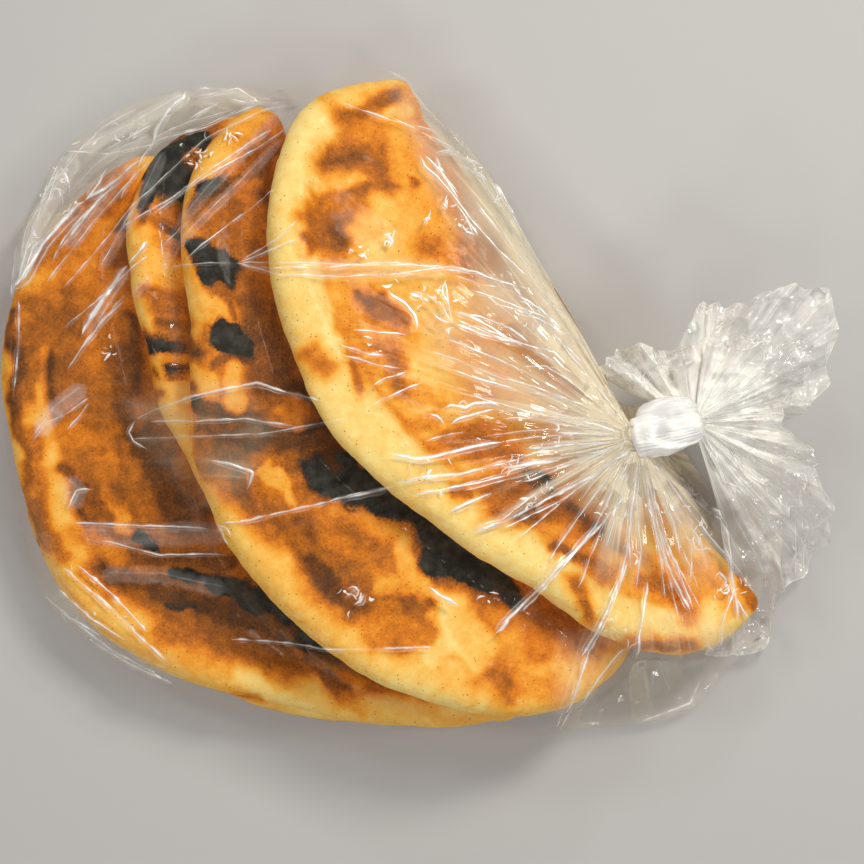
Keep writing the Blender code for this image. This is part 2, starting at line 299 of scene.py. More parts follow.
@dataclass(frozen=True)
class Mark:
    """A patch of crust baked unlike the crust round it, or darkened as painted shade: a streak with round
    ends, from above.
    """

    baking: Baking
    start: Place  # mm
    end: Place  # mm
    radius: float  # mm
    strength: float = 0.8

    def cover(self, places: Array, rough: Array, spread: float = 1.0) -> Array:
        """How much of the mark lies at each place.

        Args:
            places: Places in plan, in mm.
            rough: Noise that makes the mark's border uneven.
            spread: How many times wider than the mark itself to look.

        Returns:
            Shares from 0 to the mark's strength.
        """
        distance = distance_from(places, np.array(self.start, float), np.array(self.end, float))
        away = distance / (self.radius * spread) + MARK_FRAY * rough
        return self.strength * (1 - smoothstep(*MARK_FADE, away))


def streaks(*rows: tuple) -> tuple[Mark, ...]:
    """Makes marks from rows of whole numbers.

    Args:
        *rows: Baking, places of the start and of the end, radius in tenths of a mm and,
            where it isn't the usual one, strength in per cent of each mark.

    Returns:
        The marks, in the same order.
    """
    return tuple(
        Mark(row[0], row[1:3], row[3:5], row[5] / 10, *(share / 100 for share in row[6:])) for row in rows
    )


@dataclass(frozen=True)
class StoneBakedCrust:
    """Wheat dough baked on a hot stone: dry, matt, floury where pale and blistered where dark."""

    cream: str = "#FBE08C"
    straw: str = "#F7C25C"
    gold: str = "#F0A22E"
    orange: str = "#DB7D14"
    brown: str = "#A45B11"
    dark: str = "#62360E"
    burnt: str = "#2B1A0D"
    char: str = "#171612"
    # Painted sheen: a slate-grey highlight tone on the char
    painted_char_sheen: str = "#3C3D37"
    grain_mm: float = 1.1
    grain_depth: Pair = (0.11, 0.42)  # how far grain shifts the tone, on pale and on brown crust
    mottle_mm: float = 4.5
    mottle_depth: float = 0.34
    char_fray: float = 0.9  # how far grain shifts the border of the char
    speck_spacing_mm: float = 1.6
    speck_radius: Pair = (0.10, 0.28)  # least and greatest, as a share of the spacing
    pit_mm: float = 0.4
    bump_mm: float = 1.2
    roughness: float = 0.62
    ior: float = 1.42
    sheen: float = 0.2

    def material(self) -> bpy.types.Material:
        """The crust: browning by the toast value, char over it, specks and fine grain.

        Returns:
            The material, which reads the toast, char and specks values of its points.
        """
        made = bare_material("stone_baked_dough_crust")
        tree = made.node_tree
        place = add_node(tree, "TexCoord").outputs["Object"]
        toast, burn, specks = (
            add_node(tree, "Attribute", attribute_name=name).outputs["Fac"]
            for name in ("toast", "char", "specks")
        )
        # Grain: flour and semolina leave a fine uneven tone that is strongest where browned
        noise = {"Vector": place, "Detail": 4.0}
        grain, mottle = (
            add_node(tree, "TexNoise", noise | {"Scale": 1 / (size * MM), "Roughness": rough})
            for size, rough in ((self.grain_mm, 0.75), (self.mottle_mm, 0.6))
        )
        on_pale, on_brown = self.grain_depth
        tones = {"Value": toast, "From Min": 0.1, "From Max": 0.6, "To Min": on_pale, "To Max": on_brown}
        depth = add_node(tree, "MapRange", tones)
        centred = add_node(tree, "Math", {0: grain, 1: 0.5}, operation="SUBTRACT")
        finely = add_node(tree, "Math", {0: centred, 1: depth, 2: toast}, operation="MULTIPLY_ADD")
        patchy = add_node(tree, "Math", {0: mottle, 1: 0.5}, operation="SUBTRACT")
        both = {0: patchy, 1: self.mottle_depth, 2: finely}
        level = add_node(tree, "Math", both, operation="MULTIPLY_ADD")
        stops = (
            (0.0, self.cream), (0.18, self.straw), (0.34, self.gold), (0.48, self.orange),
            (0.64, self.brown), (0.82, self.dark), (1.0, self.burnt),
        )
        crust = add_node(tree, "ValToRGB", {"Fac": level}, stops)
        # Char: black where the blister burnt, with a painted sheen over it: a slate-grey highlight tone
        # that the mottle mixes in at random places
        painted_sheen_tone = add_node(tree, "ValToRGB", {"Fac": mottle}, stops=((0.42, self.char), (0.72, self.painted_char_sheen)))
        edge = add_node(tree, "Math", {0: centred, 1: self.char_fray, 2: burn}, operation="MULTIPLY_ADD")
        limits = {"Value": edge, "From Min": 0.20, "From Max": 0.62}
        burnt = add_node(tree, "MapRange", limits, interpolation_type="SMOOTHSTEP")
        charred = add_node(tree, "Mix", {0: burnt, 6: crust, 7: painted_sheen_tone}, data_type="RGBA").outputs[2]
        # Specks: single grains of flour burnt black on the stone
        cells = add_node(tree, "TexVoronoi", {"Vector": place, "Scale": 1 / (self.speck_spacing_mm * MM)})
        chances = add_node(tree, "SeparateColor", {"Color": cells.outputs["Color"]})
        there = add_node(tree, "Math", {0: chances, 1: specks}, operation="LESS_THAN")
        least, greatest = self.speck_radius
        sizes = {"Value": chances.outputs["Green"], "To Min": least, "To Max": greatest}
        width = add_node(tree, "MapRange", sizes)
        border = {"Value": cells, "From Min": width, "From Max": 0.06, "To Min": 0.0, "To Max": 0.9}
        dot = add_node(tree, "MapRange", border)
        speck = add_node(tree, "Math", {0: dot, 1: there}, operation="MULTIPLY")
        layers = {0: speck, 6: charred, 7: linear(self.burnt)}
        colour = add_node(tree, "Mix", layers, data_type="RGBA").outputs[2]
        pits = {"Strength": 0.35, "Distance": self.pit_mm * MM, "Height": grain}
        rises = {"Strength": 0.4, "Distance": self.bump_mm * MM, "Height": mottle}
        bumps = add_node(tree, "Bump", rises | {"Normal": add_node(tree, "Bump", pits)})
        dough = {"Base Color": colour, "Roughness": self.roughness, "Normal": bumps, "IOR": self.ior}
        shader = add_node(tree, "BsdfPrincipled", dough | {"Specular IOR Level": self.sheen})
        add_node(tree, "OutputMaterial", {"Surface": shader})
        return made


@dataclass(frozen=True)
class FoldedBread:
    """A round of dough folded in half: two flaps with puffed rims, laid on what is under it."""

    name: str
    fold_start: Place
    fold_end: Place
    reach: tuple[int, ...]  # upper flap, from end to end of the fold, every 15 degrees, mm
    under_reach: tuple[int, ...]  # lower flap, likewise
    lie: tuple[Pair, ...]  # pairs of distance from the fold and height of the mid-plane
    rim_toast: float
    face_toast: float
    seed: int
    marks: tuple[Mark, ...] = ()
    flap: float = 0.010
    rim: float = 0.016
    rim_fade: float = 0.014
    rim_line: Pair = (0.0165, 0.0215)  # how far in the rim's tone gives way to the face's
    hidden_toast: float = 0.36
    patches: tuple[Pair, ...] = ((0.034, 0.14), (0.011, 0.10), (0.0045, 0.04))  # sizes and toast
    painted_hollow_shade: float = 0.20  # of the line of painted shade in the hollow where the face rises into the rim
    hollow_shade_inset: float = 0.0205
    hollow_shade_width: float = 0.0013
    waves: Pair = (0.013, 3.4)  # size of the waves in a mark's outline, and their height in mm
    jags: Pair = (0.004, 1.3)  # likewise of its small jags
    scorch_spread: float = 1.9  # how far browning and crumbs reach round a mark, in its radii
    crumbs: float = 0.44
    swells: tuple[Pair, ...] = ((0.0013, 0.042), (0.0010, 0.019), (0.0004, 0.0075), (0.00016, 0.0028))
    inside: Pair = (0.016, 0.034)  # how far in the face's own swells set in
    blister: float = 0.0012
    groove: float = 0.0009  # depth, place and width of the hollow beside the rim
    groove_inset: float = 0.0195
    groove_width: float = 0.0018
    fold_radius: float = 0.0076
    interior: float = 0.40
    rim_end: float = 0.60
    upper_spokes: int = 420
    under_spokes: int = 240
    outer_rings: int = 88
    rim_rings: int = 16
    inner_rings: int = 6

    def grid(self) -> tuple[Array, Array]:
        """Spreads the skin's points over the round.

        Returns:
            Shares of a turn, and of the way from the outer to the inner face's middle, as
            two grids.
        """
        upper = np.linspace(0, 0.5, self.upper_spokes, endpoint=False)
        under = np.linspace(0.5, 1, self.under_spokes, endpoint=False)
        outer = np.linspace(0, self.interior, self.outer_rings + 1)[1:]
        rim = np.linspace(self.interior, self.rim_end, self.rim_rings + 1)[1:]
        inner = np.linspace(self.rim_end, 1, self.inner_rings + 1)[1:-1]
        turn, sweep = np.meshgrid(np.concatenate([upper, under]), np.concatenate([outer, rim, inner]))
        return turn, sweep

    def rim_profile(self, depth: Array) -> Array:
        """Shapes a flap: a round rim that fades into the flatter face.

        Args:
            depth: Distances in from the flap's edge.

        Returns:
            Half the flap's thickness at each.
        """
        bulge = np.sqrt(np.clip(1 - (1 - depth / (self.rim / 2)) ** 2, 0, 1)) * self.rim / 2
        fade = smoothstep(0, 1, (depth - self.rim / 2) / self.rim_fade)
        inside = self.rim / 2 + (self.flap - self.rim) / 2 * fade
        return np.where(depth < self.rim / 2, bulge, inside)

    def edge_reach(self, turn: Array) -> Array:
        """How far the dough reaches from the middle of the fold.

        Args:
            turn: Shares of a turn.

        Returns:
            The distance of the edge in each direction.
        """
        angle = 2 * math.pi * turn
        keys = np.radians(np.arange(0, 181, 15))
        folded = np.where(angle > math.pi, 2 * math.pi - angle, angle)
        reaches = np.divide((self.reach, self.under_reach), PER_METRE)
        upper, lower = (smooth_through(keys, reach, folded) for reach in reaches)
        return np.where(angle > math.pi, lower, upper)

    def inset(self, turn: Array, sweep: Array) -> Array:
        """How far in from the dough's edge each place of the skin lies.

        Args:
            turn: Shares of a turn.
            sweep: Shares of the way from the outer to the inner face's middle.

        Returns:
            The distances.
        """
        reach = self.edge_reach(turn)
        outer = sweep < self.interior
        inner = sweep > self.rim_end
        share = np.where(outer, sweep / self.interior, np.where(inner, (1 - sweep) / (1 - self.rim_end), 1))
        around = (sweep - self.interior) / (self.rim_end - self.interior) * math.pi
        rim_inset = self.rim / 2 * (1 - np.sin(np.clip(around, 0, math.pi)))
        return np.where(outer | inner, reach - share * (reach - self.rim / 2), rim_inset)

    def skin(self, turn: Array, sweep: Array) -> Array:
        """Places on the skin: the round's outer face, its rim and its inner face, folded and laid.

        Args:
            turn: Shares of a turn round the middle of the round.
            sweep: Shares of the way from the outer face's middle to the inner face's.

        Returns:
            A place for each pair of them.
        """
        angle = 2 * math.pi * turn
        reach = self.edge_reach(turn)
        outer = sweep < self.interior
        inner = sweep > self.rim_end
        around = (sweep - self.interior) / (self.rim_end - self.interior) * math.pi
        inset = self.inset(turn, sweep)
        radius = reach - inset
        half = self.rim_profile(inset)
        side = np.where(outer, 1, np.where(inner, -1, np.cos(around)))
        lift = np.where(outer | inner, side * half, side * self.rim / 2)

        along = -radius * np.cos(angle)
        across = radius * np.sin(angle)
        bend = self.fold_radius * math.pi / 2
        start = self.fold_radius + self.flap / 2
        turned = np.clip(across, -bend, bend) / self.fold_radius
        past = np.abs(across) - bend
        flat = past > 0
        out = np.where(flat, start + past, start - self.fold_radius * np.cos(turned))
        height = np.where(flat, np.sign(across) * self.fold_radius, self.fold_radius * np.sin(turned))
        out = out - np.where(flat, 0, np.cos(turned)) * lift
        height = height + np.where(flat, np.sign(across), np.sin(turned)) * lift

        begin, end = np.array(self.fold_start), np.array(self.fold_end)
        middle = (begin + end) / 2
        line = (end - begin) / np.linalg.norm(end - begin)
        away = np.array((line[1], -line[0]))
        keys, heights = zip(*self.lie)
        base = smooth_through(keys, heights, out)
        step = 2 * MM
        before, after = (smooth_through(keys, heights, out + way) for way in (-step, step))
        tilt = np.arctan((after - before) / (2 * step))
        out = out - np.sin(tilt) * height
        plan = middle + along[..., None] * line + out[..., None] * away
        return np.concatenate([plan, (base + np.cos(tilt) * height)[..., None]], axis=-1)

    def shares(self, points: Array, normals: Array, inset: Array) -> dict[str, Array]:
        """Baking values of the skin: toast, char and specks.

        Args:
            points: Places of the plain skin.
            normals: Its outward directions.
            inset: How far in from the dough's edge each lies.

        Returns:
            The three values, by name.
        """
        patches = [unevenness(points, size, self.seed + k) for k, (size, _) in enumerate(self.patches)]
        wide, close, tight = patches
        rim_line = smoothstep(*self.rim_line, inset + 0.0016 * wide + 0.0012 * close)
        toast = self.rim_toast + (self.face_toast - self.rim_toast) * rim_line
        uneven = sum(share * patch for (_, share), patch in zip(self.patches, patches))
        toast += uneven * (0.35 + 0.65 * rim_line)
        # Painted shade: a darker line in the hollow where the face rises into the rim, stronger at random
        # places
        line = np.exp(-(((inset - self.hollow_shade_inset) / self.hollow_shade_width) ** 2))
        toast += self.painted_hollow_shade * line * smoothstep(-0.5, 0.6, wide)
        underneath = smoothstep(0.35, -0.35, normals[..., 2])
        toast += (self.hidden_toast - toast) * underneath * 0.9
        facing = smoothstep(-0.1, 0.25, normals[..., 2])
        char = np.zeros_like(toast)
        rough = 0.6 * close + 0.5 * tight
        waves = np.stack([unevenness(points, self.waves[0], self.seed + k) for k in (7, 8)], axis=-1)
        jags = np.stack([unevenness(points, self.jags[0], self.seed + k) for k in (9, 10)], axis=-1)
        places = points[..., :2] / MM + self.waves[1] * waves + self.jags[1] * jags
        for mark in self.marks:
            if mark.baking.value >= Baking.BROWN.value:
                scorch = mark.cover(places, rough, self.scorch_spread) * facing
                toast += (np.maximum(toast, Baking.BROWN.value) - toast) * 0.6 * scorch
            cover = mark.cover(places, rough) * facing
            toast += (mark.baking.value - toast) * cover
            char = char * (1 - cover)
            if mark.baking is Baking.CHAR:
                # Crumbs of char lie thinly round every burnt place
                crumbs = mark.strength * mark.cover(places, rough, self.scorch_spread) * facing
                char = np.maximum(char + cover, self.crumbs * crumbs)
        specks = 0.28 + 0.28 * smoothstep(0.3, 0.6, toast) + 0.50 * smoothstep(0.0, 0.9, wide + 0.6 * close)
        values = {"toast": toast, "char": char, "specks": specks}
        return {name: np.clip(value, 0, 1) for name, value in values.items()}

    def relief(self, points: Array, inset: Array, sweep: Array, toast: Array) -> Array:
        """How far the skin stands off its plain form: swells, blisters and pits.

        Args:
            points: Places of the plain skin.
            inset: How far in from the dough's edge each lies.
            sweep: Shares of the way from the outer to the inner face's middle.
            toast: How browned each place is.

        Returns:
            A lift for each place.
        """
        inside = smoothstep(*self.inside, inset)
        outer = sweep < self.rim_end
        broad, middling, small, fine = (
            lift * unevenness(points, size, self.seed + 3 + k) for k, (lift, size) in enumerate(self.swells)
        )
        swell = broad * inside + middling + small
        blister = self.blister * smoothstep(0.45, 0.95, toast) * inside
        blister -= self.groove * np.exp(-(((inset - self.groove_inset) / self.groove_width) ** 2))
        return np.where(outer, swell + fine + blister, 0.3 * (swell + fine))

    def build(self) -> tuple[Array, dict[str, Array]]:
        """Shapes the skin and bakes it.

        Returns:
            Its points and the values that its finish reads, both with the two end points.
        """
        turn, sweep = self.grid()
        plain = self.skin(turn, sweep)
        normals = surface_normals(plain)
        inset = self.inset(turn, sweep)
        baked = self.shares(plain, normals, inset)
        shaped = plain + normals * self.relief(plain, inset, sweep, baked["toast"])[..., None]
        points = capped(shaped, shaped[0].mean(axis=0), shaped[-1].mean(axis=0))
        values = {key: capped(value, value[0].mean(), value[-1].mean()) for key, value in baked.items()}
        return points, values

    def dress(self, crust: bpy.types.Material) -> bpy.types.Object:
        """Makes the bread's piece.

        Args:
            crust: Its material.

        Returns:
            The piece, a closed skin.
        """
        points, values = self.build()
        rings = self.outer_rings + self.rim_rings + self.inner_rings - 1
        faces = capped_faces(rings, self.upper_spokes + self.under_spokes)
        piece = new_piece("bread_" + self.name, points, faces, values)
        piece.data.materials.append(crust)
        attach(piece, BODY)
        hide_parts(NODE)
        return piece


# Marks of each bread, each laid over the ones before it: places in mm, sizes in tenths of a mm. Some dark
# marks are painted shade, as said where they stand.
LOWER_MARKS = streaks(
    # Painted shade: the DARK streak from (-164, 24) to (-163, -1) darkens the far left edge where it lies
    # in shadow
    (BROWN, -160, 44, -145, 32, 49), (DARK, -164, 24, -163, -1, 37, 90),
    (BROWN, -148, 28, -138, 14, 41, 70), (DARK, -118, 36, -114, 6, 33, 85), (DARK, -125, 5, -117, -12, 57),
    (BROWN, -133, 3, -127, -13, 49), (DARK, -146, -27, -138, -32, 29, 70),
    (BROWN, -138, -38, -131, -44, 29, 70), (BROWN, -158, -13, -154, -54, 33, 70),
    # Painted shade: the DARK streak from (-114, -13) to (-94, -46) darkens the step between the two lower
    # breads
    (ORANGE, -143, -51, -124, -61, 49, 70), (DARK, -114, -13, -94, -46, 73, 75),
    (CHAR, -116, -52, -109, -56, 24, 90), (DARK, -120, -61, -78, -63, 33, 70),
    (BROWN, -133, -67, -111, -77, 49, 70), (CHAR, -100, -68, -76, -73, 33, 75),
    # Painted shadow: the DARK streak from (-78, -87) to (-38, -95), and on the next line the CHAR streak
    # from (-70, -77) to (-38, -99), darken the crust along the middle bread's rim where that rim shades it;
    # the CHAR streak is partly real char
    (CHAR, -103, -79, -85, -82, 29), (DARK, -107, -74, -70, -84, 49), (DARK, -78, -87, -38, -95, 65, 95),
    (CHAR, -70, -77, -38, -99, 45, 85), (BROWN, -107, -91, -50, -103, 57), (DARK, -43, -101, -17, -105, 41),
    (DARK, -43, -108, -33, -115, 37, 75), (BROWN, -20, -113, -3, -117, 33),
    (GOLD, -94, -106, -77, -112, 41, 70), (CREAM, -72, -110, -44, -126, 45, 75),
    (BROWN, -81, -117, -66, -121, 20, 70), (GOLD, -1, -124, 31, -128, 38, 70),
    (GOLD, -144, -76, -121, -95, 34), (BROWN, -156, 42, -147, 30, 57, 70),
    # Painted shade: the DARK streak from (-123, 25) to (-118, -5) darkens the slot beside the middle
    # bread's lip
    (GOLD, -140, 59, -130, 75, 49, 60), (DARK, -123, 25, -118, -5, 37, 75),
    (ORANGE, -148, -11, -132, -14, 53, 75), (GOLD, -130, -22, -122, -47, 37, 85),
    # Painted shade: these two DARK streaks darken the far left edge where it lies in shadow
    (DARK, -165, 40, -166, 3, 24, 70), (DARK, -165, -1, -161, -34, 24, 60),
    # Painted shade: the DARK streak from (-115, -13) to (-99, -46) darkens the step between the two lower
    # breads
    (BROWN, -156, -42, -148, -60, 33, 60), (DARK, -115, -13, -99, -46, 41, 55),
    (ORANGE, -139, -49, -124, -61, 45, 70), (DARK, -131, -67, -107, -75, 37),
    # Painted shadow: the DARK streak from (-88, -80) to (-54, -93) darkens the crust along the middle
    # bread's rim where that rim shades it
    (DARK, -88, -80, -54, -93, 49, 85), (BROWN, -99, -91, -58, -101, 45, 55),
    (DARK, -38, -108, -29, -116, 24, 60), (ORANGE, -32, -117, -24, -125, 33, 70),
    (DARK, -154, 38, -144, 32, 37, 60), (ORANGE, -130, -24, -123, -38, 29, 60),
    (BROWN, -156, 61, -124, 92, 61, 75), (ORANGE, -146, 47, -126, 70, 53, 70),
    # Painted shade: the DARK streak from (-159, 31) to (-158, 3) darkens the far left edge where it lies in
    # shadow
    (BROWN, -130, -24, -123, -38, 37, 55), (DARK, -159, 31, -158, 3, 33, 50),
    (BROWN, -144, 11, -131, -9, 49, 50), (BROWN, -147, 59, -124, 86, 37, 50),
    (DARK, -145, 48, -141, 35, 33, 50), (BROWN, -136, 44, -124, 27, 37, 50),
    (BROWN, -95, -89, -70, -95, 41, 60), (DARK, -74, -95, -50, -101, 29, 40),
    (BROWN, -156, 42, -142, 25, 41, 50), (BROWN, -161, -38, -156, -54, 20, 50),
)
LOWER = FoldedBread(
    name="lower",
    fold_start=(-0.113, 0.106),
    fold_end=(0.043, -0.128),
    reach=(140, 143, 144, 139, 132, 129, 128, 121, 115, 113, 117, 126, 138),
    under_reach=(140, 144, 144, 139, 133, 132, 131, 124, 118, 117, 120, 128, 138),
    lie=((0.0, 0.0162), (0.06, 0.0162), (0.14, 0.0166)),
    rim_toast=0.20,
    face_toast=0.62,
    seed=11,
    marks=LOWER_MARKS,
)
MIDDLE_MARKS = streaks(
    (CHAR, -106, 103, -89, 110, 37, 100), (CHAR, -111, 94, -105, 101, 36, 100),
    (CHAR, -114, 78, -111, 91, 32, 100), (DARK, -114, 73, -113, 78, 28), (BROWN, -94, 112, -84, 114, 20),
    (GOLD, -74, 111, -87, 102, 28), (GOLD, -89, 100, -106, 88, 36, 85),
    (ORANGE, -107, 85, -111, 74, 32, 70), (GOLD, -112, 70, -115, 61, 32), (BROWN, -106, 46, -102, 36, 36),
    (GOLD, -96, 74, -95, 45, 28), (CHAR, -89, 87, -76, 92, 24, 100), (DARK, -88, 80, -80, 84, 40, 85),
    (BROWN, -84, 74, -71, 81, 56), (DARK, -65, 101, -61, 63, 28, 60), (CHAR, -92, 66, -86, 64, 28, 100),
    (CHAR, -86, 61, -79, 58, 40, 100), (CHAR, -88, 53, -79, 48, 36, 60), (BROWN, -76, 54, -68, 48, 36, 75),
    (BROWN, -81, 68, -68, 65, 40), (DARK, -69, 44, -64, 27, 32, 70), (BROWN, -86, 34, -87, 16, 28, 70),
    (CHAR, -78, 33, -76, 27, 43, 100), (CHAR, -74, 28, -69, 21, 55, 100), (DARK, -81, 17, -65, 17, 24, 70),
    (GOLD, -87, 14, -79, 4, 24), (BROWN, -77, 14, -76, 4, 16, 60),
    # The burst blister with its crumbs of char
    (GOLD, -107, 12, -102, 4, 28), (DARK, -95, 14, -90, 7, 20, 70),
    # The face beside the highest bread: char along that bread's rim, drawn blacker as painted shadow where
    # the rim shades the face
    # Painted shade: the two DARK streaks from (-62, 43) and (-63, 14) darken the face under the highest
    # bread's rim
    (DARK, -62, 43, -52, 14, 36, 50), (DARK, -63, 14, -48, 6, 48, 60), (CHAR, -89, 0, -77, -2, 36, 75),
    (CHAR, -76, -3, -63, -7, 32), (BROWN, -61, 1, -50, -6, 36, 85), (CHAR, -48, 4, -37, -7, 44, 70),
    (DARK, -86, -10, -72, -16, 39, 85), (DARK, -70, -10, -48, -18, 47, 85),
    (BROWN, -83, -23, -69, -37, 55, 70), (DARK, -83, -23, -73, -27, 24, 60), (DARK, -51, -22, -44, -28, 28),
    # Char and painted shadow: the CHAR streaks from here to (38, -76) run along the highest bread's rim,
    # black partly for char and partly for the shadow that the rim casts
    (CHAR, -43, -21, -31, -25, 40, 100), (CHAR, -31, -26, -14, -31, 44, 100),
    (BROWN, -48, -30, -36, -35, 28, 70), (CHAR, -28, -36, -10, -40, 40, 100),
    (CHAR, -15, -39, 7, -48, 52, 100), (CHAR, -1, -49, 19, -57, 44, 100), (CHAR, 7, -58, 23, -71, 60, 100),
    (CHAR, 23, -61, 38, -76, 52, 90), (BROWN, -63, -39, -46, -53, 55, 75),
    (DARK, -48, -45, -36, -57, 36, 60), (BROWN, -31, -47, -22, -56, 32, 60), (GOLD, -17, -68, -3, -70, 36),
    (BROWN, -31, -59, -20, -65, 36, 75), (DARK, -45, -65, -34, -76, 47, 90),
    (BROWN, -30, -72, -20, -78, 36), (ORANGE, -28, -83, -10, -81, 43, 75), (BROWN, -9, -86, 3, -92, 47),
    (BROWN, -15, -92, -7, -96, 32, 60), (CREAM, 10, -81, 22, -98, 80, 90),
    (BROWN, 10, -73, 28, -79, 24, 70),
    # The lower end
    (ORANGE, 21, -101, 50, -113, 72), (BROWN, 29, -105, 35, -116, 44), (GOLD, 56, -98, 72, -109, 64, 70),
    (CREAM, -29, -107, 19, -117, 38, 70), (BROWN, 48, -87, 69, -95, 44),
    # Painted shade: the BROWN streak from (-71, 103) to (-60, 117) darkens the bread's upper end where
    # folds of film shade it
    (BROWN, -71, 103, -60, 117, 49, 75), (BROWN, -77, 87, -64, 67, 48, 50),
    # Painted shade: the DARK streak from (-61, 31) to (-48, -5) darkens the face under the highest bread's
    # rim
    (GOLD, -86, 40, -76, 46, 32, 70), (DARK, -61, 31, -48, -5, 40, 35), (DARK, -63, 9, -37, 4, 36),
    (ORANGE, -55, 2, -38, -5, 28, 75), (DARK, -60, -11, -33, -16, 40), (CHAR, -36, -20, -15, -32, 48, 90),
    (GOLD, -32, -39, -12, -48, 48, 60), (ORANGE, -36, -53, -17, -63, 55, 70),
    (GOLD, -8, -56, 1, -73, 44, 90), (DARK, -41, -69, -28, -78, 47), (GOLD, -17, -71, -1, -77, 32, 70),
    (ORANGE, -20, -86, 7, -92, 51), (CREAM, 10, -82, 21, -99, 56, 85), (GOLD, -1, -100, 19, -112, 36, 60),
    (GOLD, -109, 78, -101, 67, 36), (CREAM, -98, 78, -93, 46, 20, 60), (DARK, -75, 100, -65, 109, 28, 50),
    (CREAM, 2, -99, 12, -93, 36), (DARK, -73, 83, -61, 63, 32, 35), (CHAR, -110, 26, -94, 23, 52, 42),
    (CHAR, -107, 14, -95, 10, 32, 40), (BROWN, -109, 43, -99, 31, 36, 60), (CHAR, -88, 83, -75, 89, 32, 40),
    (BROWN, -83, -15, -64, -37, 55, 50), (CHAR, -88, 63, -78, 55, 55, 90), (CHAR, -86, 57, -79, 49, 48, 90),
    (BROWN, -110, 44, -102, 36, 36, 75), (DARK, -104, 34, -99, 28, 20), (BROWN, -99, 43, -95, 34, 28, 70),
    (DARK, -95, 28, -89, 22, 20, 70), (DARK, -110, 9, -106, 4, 16, 60), (GOLD, -95, 62, -89, 45, 24),
    (CREAM, -109, 72, -99, 63, 24, 60), (ORANGE, -78, 92, -63, 70, 52, 60),
    (CHAR, -111, 23, -97, 23, 28, 50), (CHAR, -102, 16, -94, 14, 24, 50), (CHAR, -96, 23, -95, 8, 20, 50),
    (GOLD, -107, 18, -102, 9, 20, 70), (GOLD, -94, 20, -83, 4, 20), (DARK, -40, 4, -36, -23, 52, 70),
    (DARK, -85, -3, -63, -1, 32, 65), (BROWN, -81, -13, -68, -25, 39, 60),
    (BROWN, -62, -13, -50, -19, 32, 70), (BROWN, -28, -72, -28, -79, 39, 60),
    (GOLD, 12, -77, 23, -97, 48, 50), (BROWN, -76, 97, -65, 105, 36, 60), (GOLD, -99, 75, -98, 61, 20, 90),
    (DARK, -87, -2, -63, -4, 35, 70), (DARK, -79, -12, -48, -12, 35, 70), (DARK, -48, -5, -32, -13, 32, 70),
    (DARK, -63, -23, -52, -25, 16, 50), (BROWN, -82, 48, -75, 46, 24, 85), (GOLD, -81, 42, -75, 35, 32, 70),
    (DARK, -75, 44, -73, 35, 12, 60), (DARK, -46, -20, -31, -26, 36, 75),
    (CHAR, -48, -25, -31, -31, 36, 55), (CHAR, -63, -7, -37, -8, 16, 40),
    (CHAR, -73, -13, -52, -14, 20, 30), (GOLD, -73, 14, -71, 1, 32), (ORANGE, -53, 0, -47, -5, 20),
    # Painted shade: the DARK streak from (-58, 43) to (-52, 14) darkens the face under the highest bread's
    # rim
    (GOLD, -61, -23, -51, -35, 20, 85), (DARK, -58, 43, -52, 14, 28, 35),
    (ORANGE, -76, 89, -65, 90, 32, 50), (DARK, -78, -7, -70, -34, 51, 55),
    (DARK, -68, -9, -52, -16, 36, 50), (ORANGE, -57, 0, -48, -5, 24, 70), (GOLD, -62, -24, -52, -34, 16),
    (DARK, -48, -13, -31, -17, 28, 60), (BROWN, -30, -45, -17, -61, 32, 50),
    (DARK, -83, -7, -41, -13, 43, 50), (DARK, -77, -18, -70, -31, 39, 50),
    # Painted shade: the DARK streak from (-66, 43) to (-58, 14) darkens the face under the highest bread's
    # rim
    (BROWN, -90, 62, -89, 57, 16, 50), (DARK, -66, 43, -58, 14, 28, 40), (CHAR, -41, -22, -36, -25, 24, 50),
)
MIDDLE = FoldedBread(
    name="middle",
    fold_start=(-0.068, 0.126),
    fold_end=(0.087, -0.101),
    reach=(136, 134, 118, 104, 101, 105, 108, 111, 117, 125, 135, 143, 136),
    under_reach=(136, 147, 141, 125, 116, 109, 107, 109, 115, 123, 133, 141, 136),
    lie=((0.0, 0.0145), (0.012, 0.018), (0.040, 0.034), (0.070, 0.0450), (0.108, 0.0470)),
    rim_toast=0.20,
    face_toast=0.52,
    seed=23,
    marks=MIDDLE_MARKS,
)
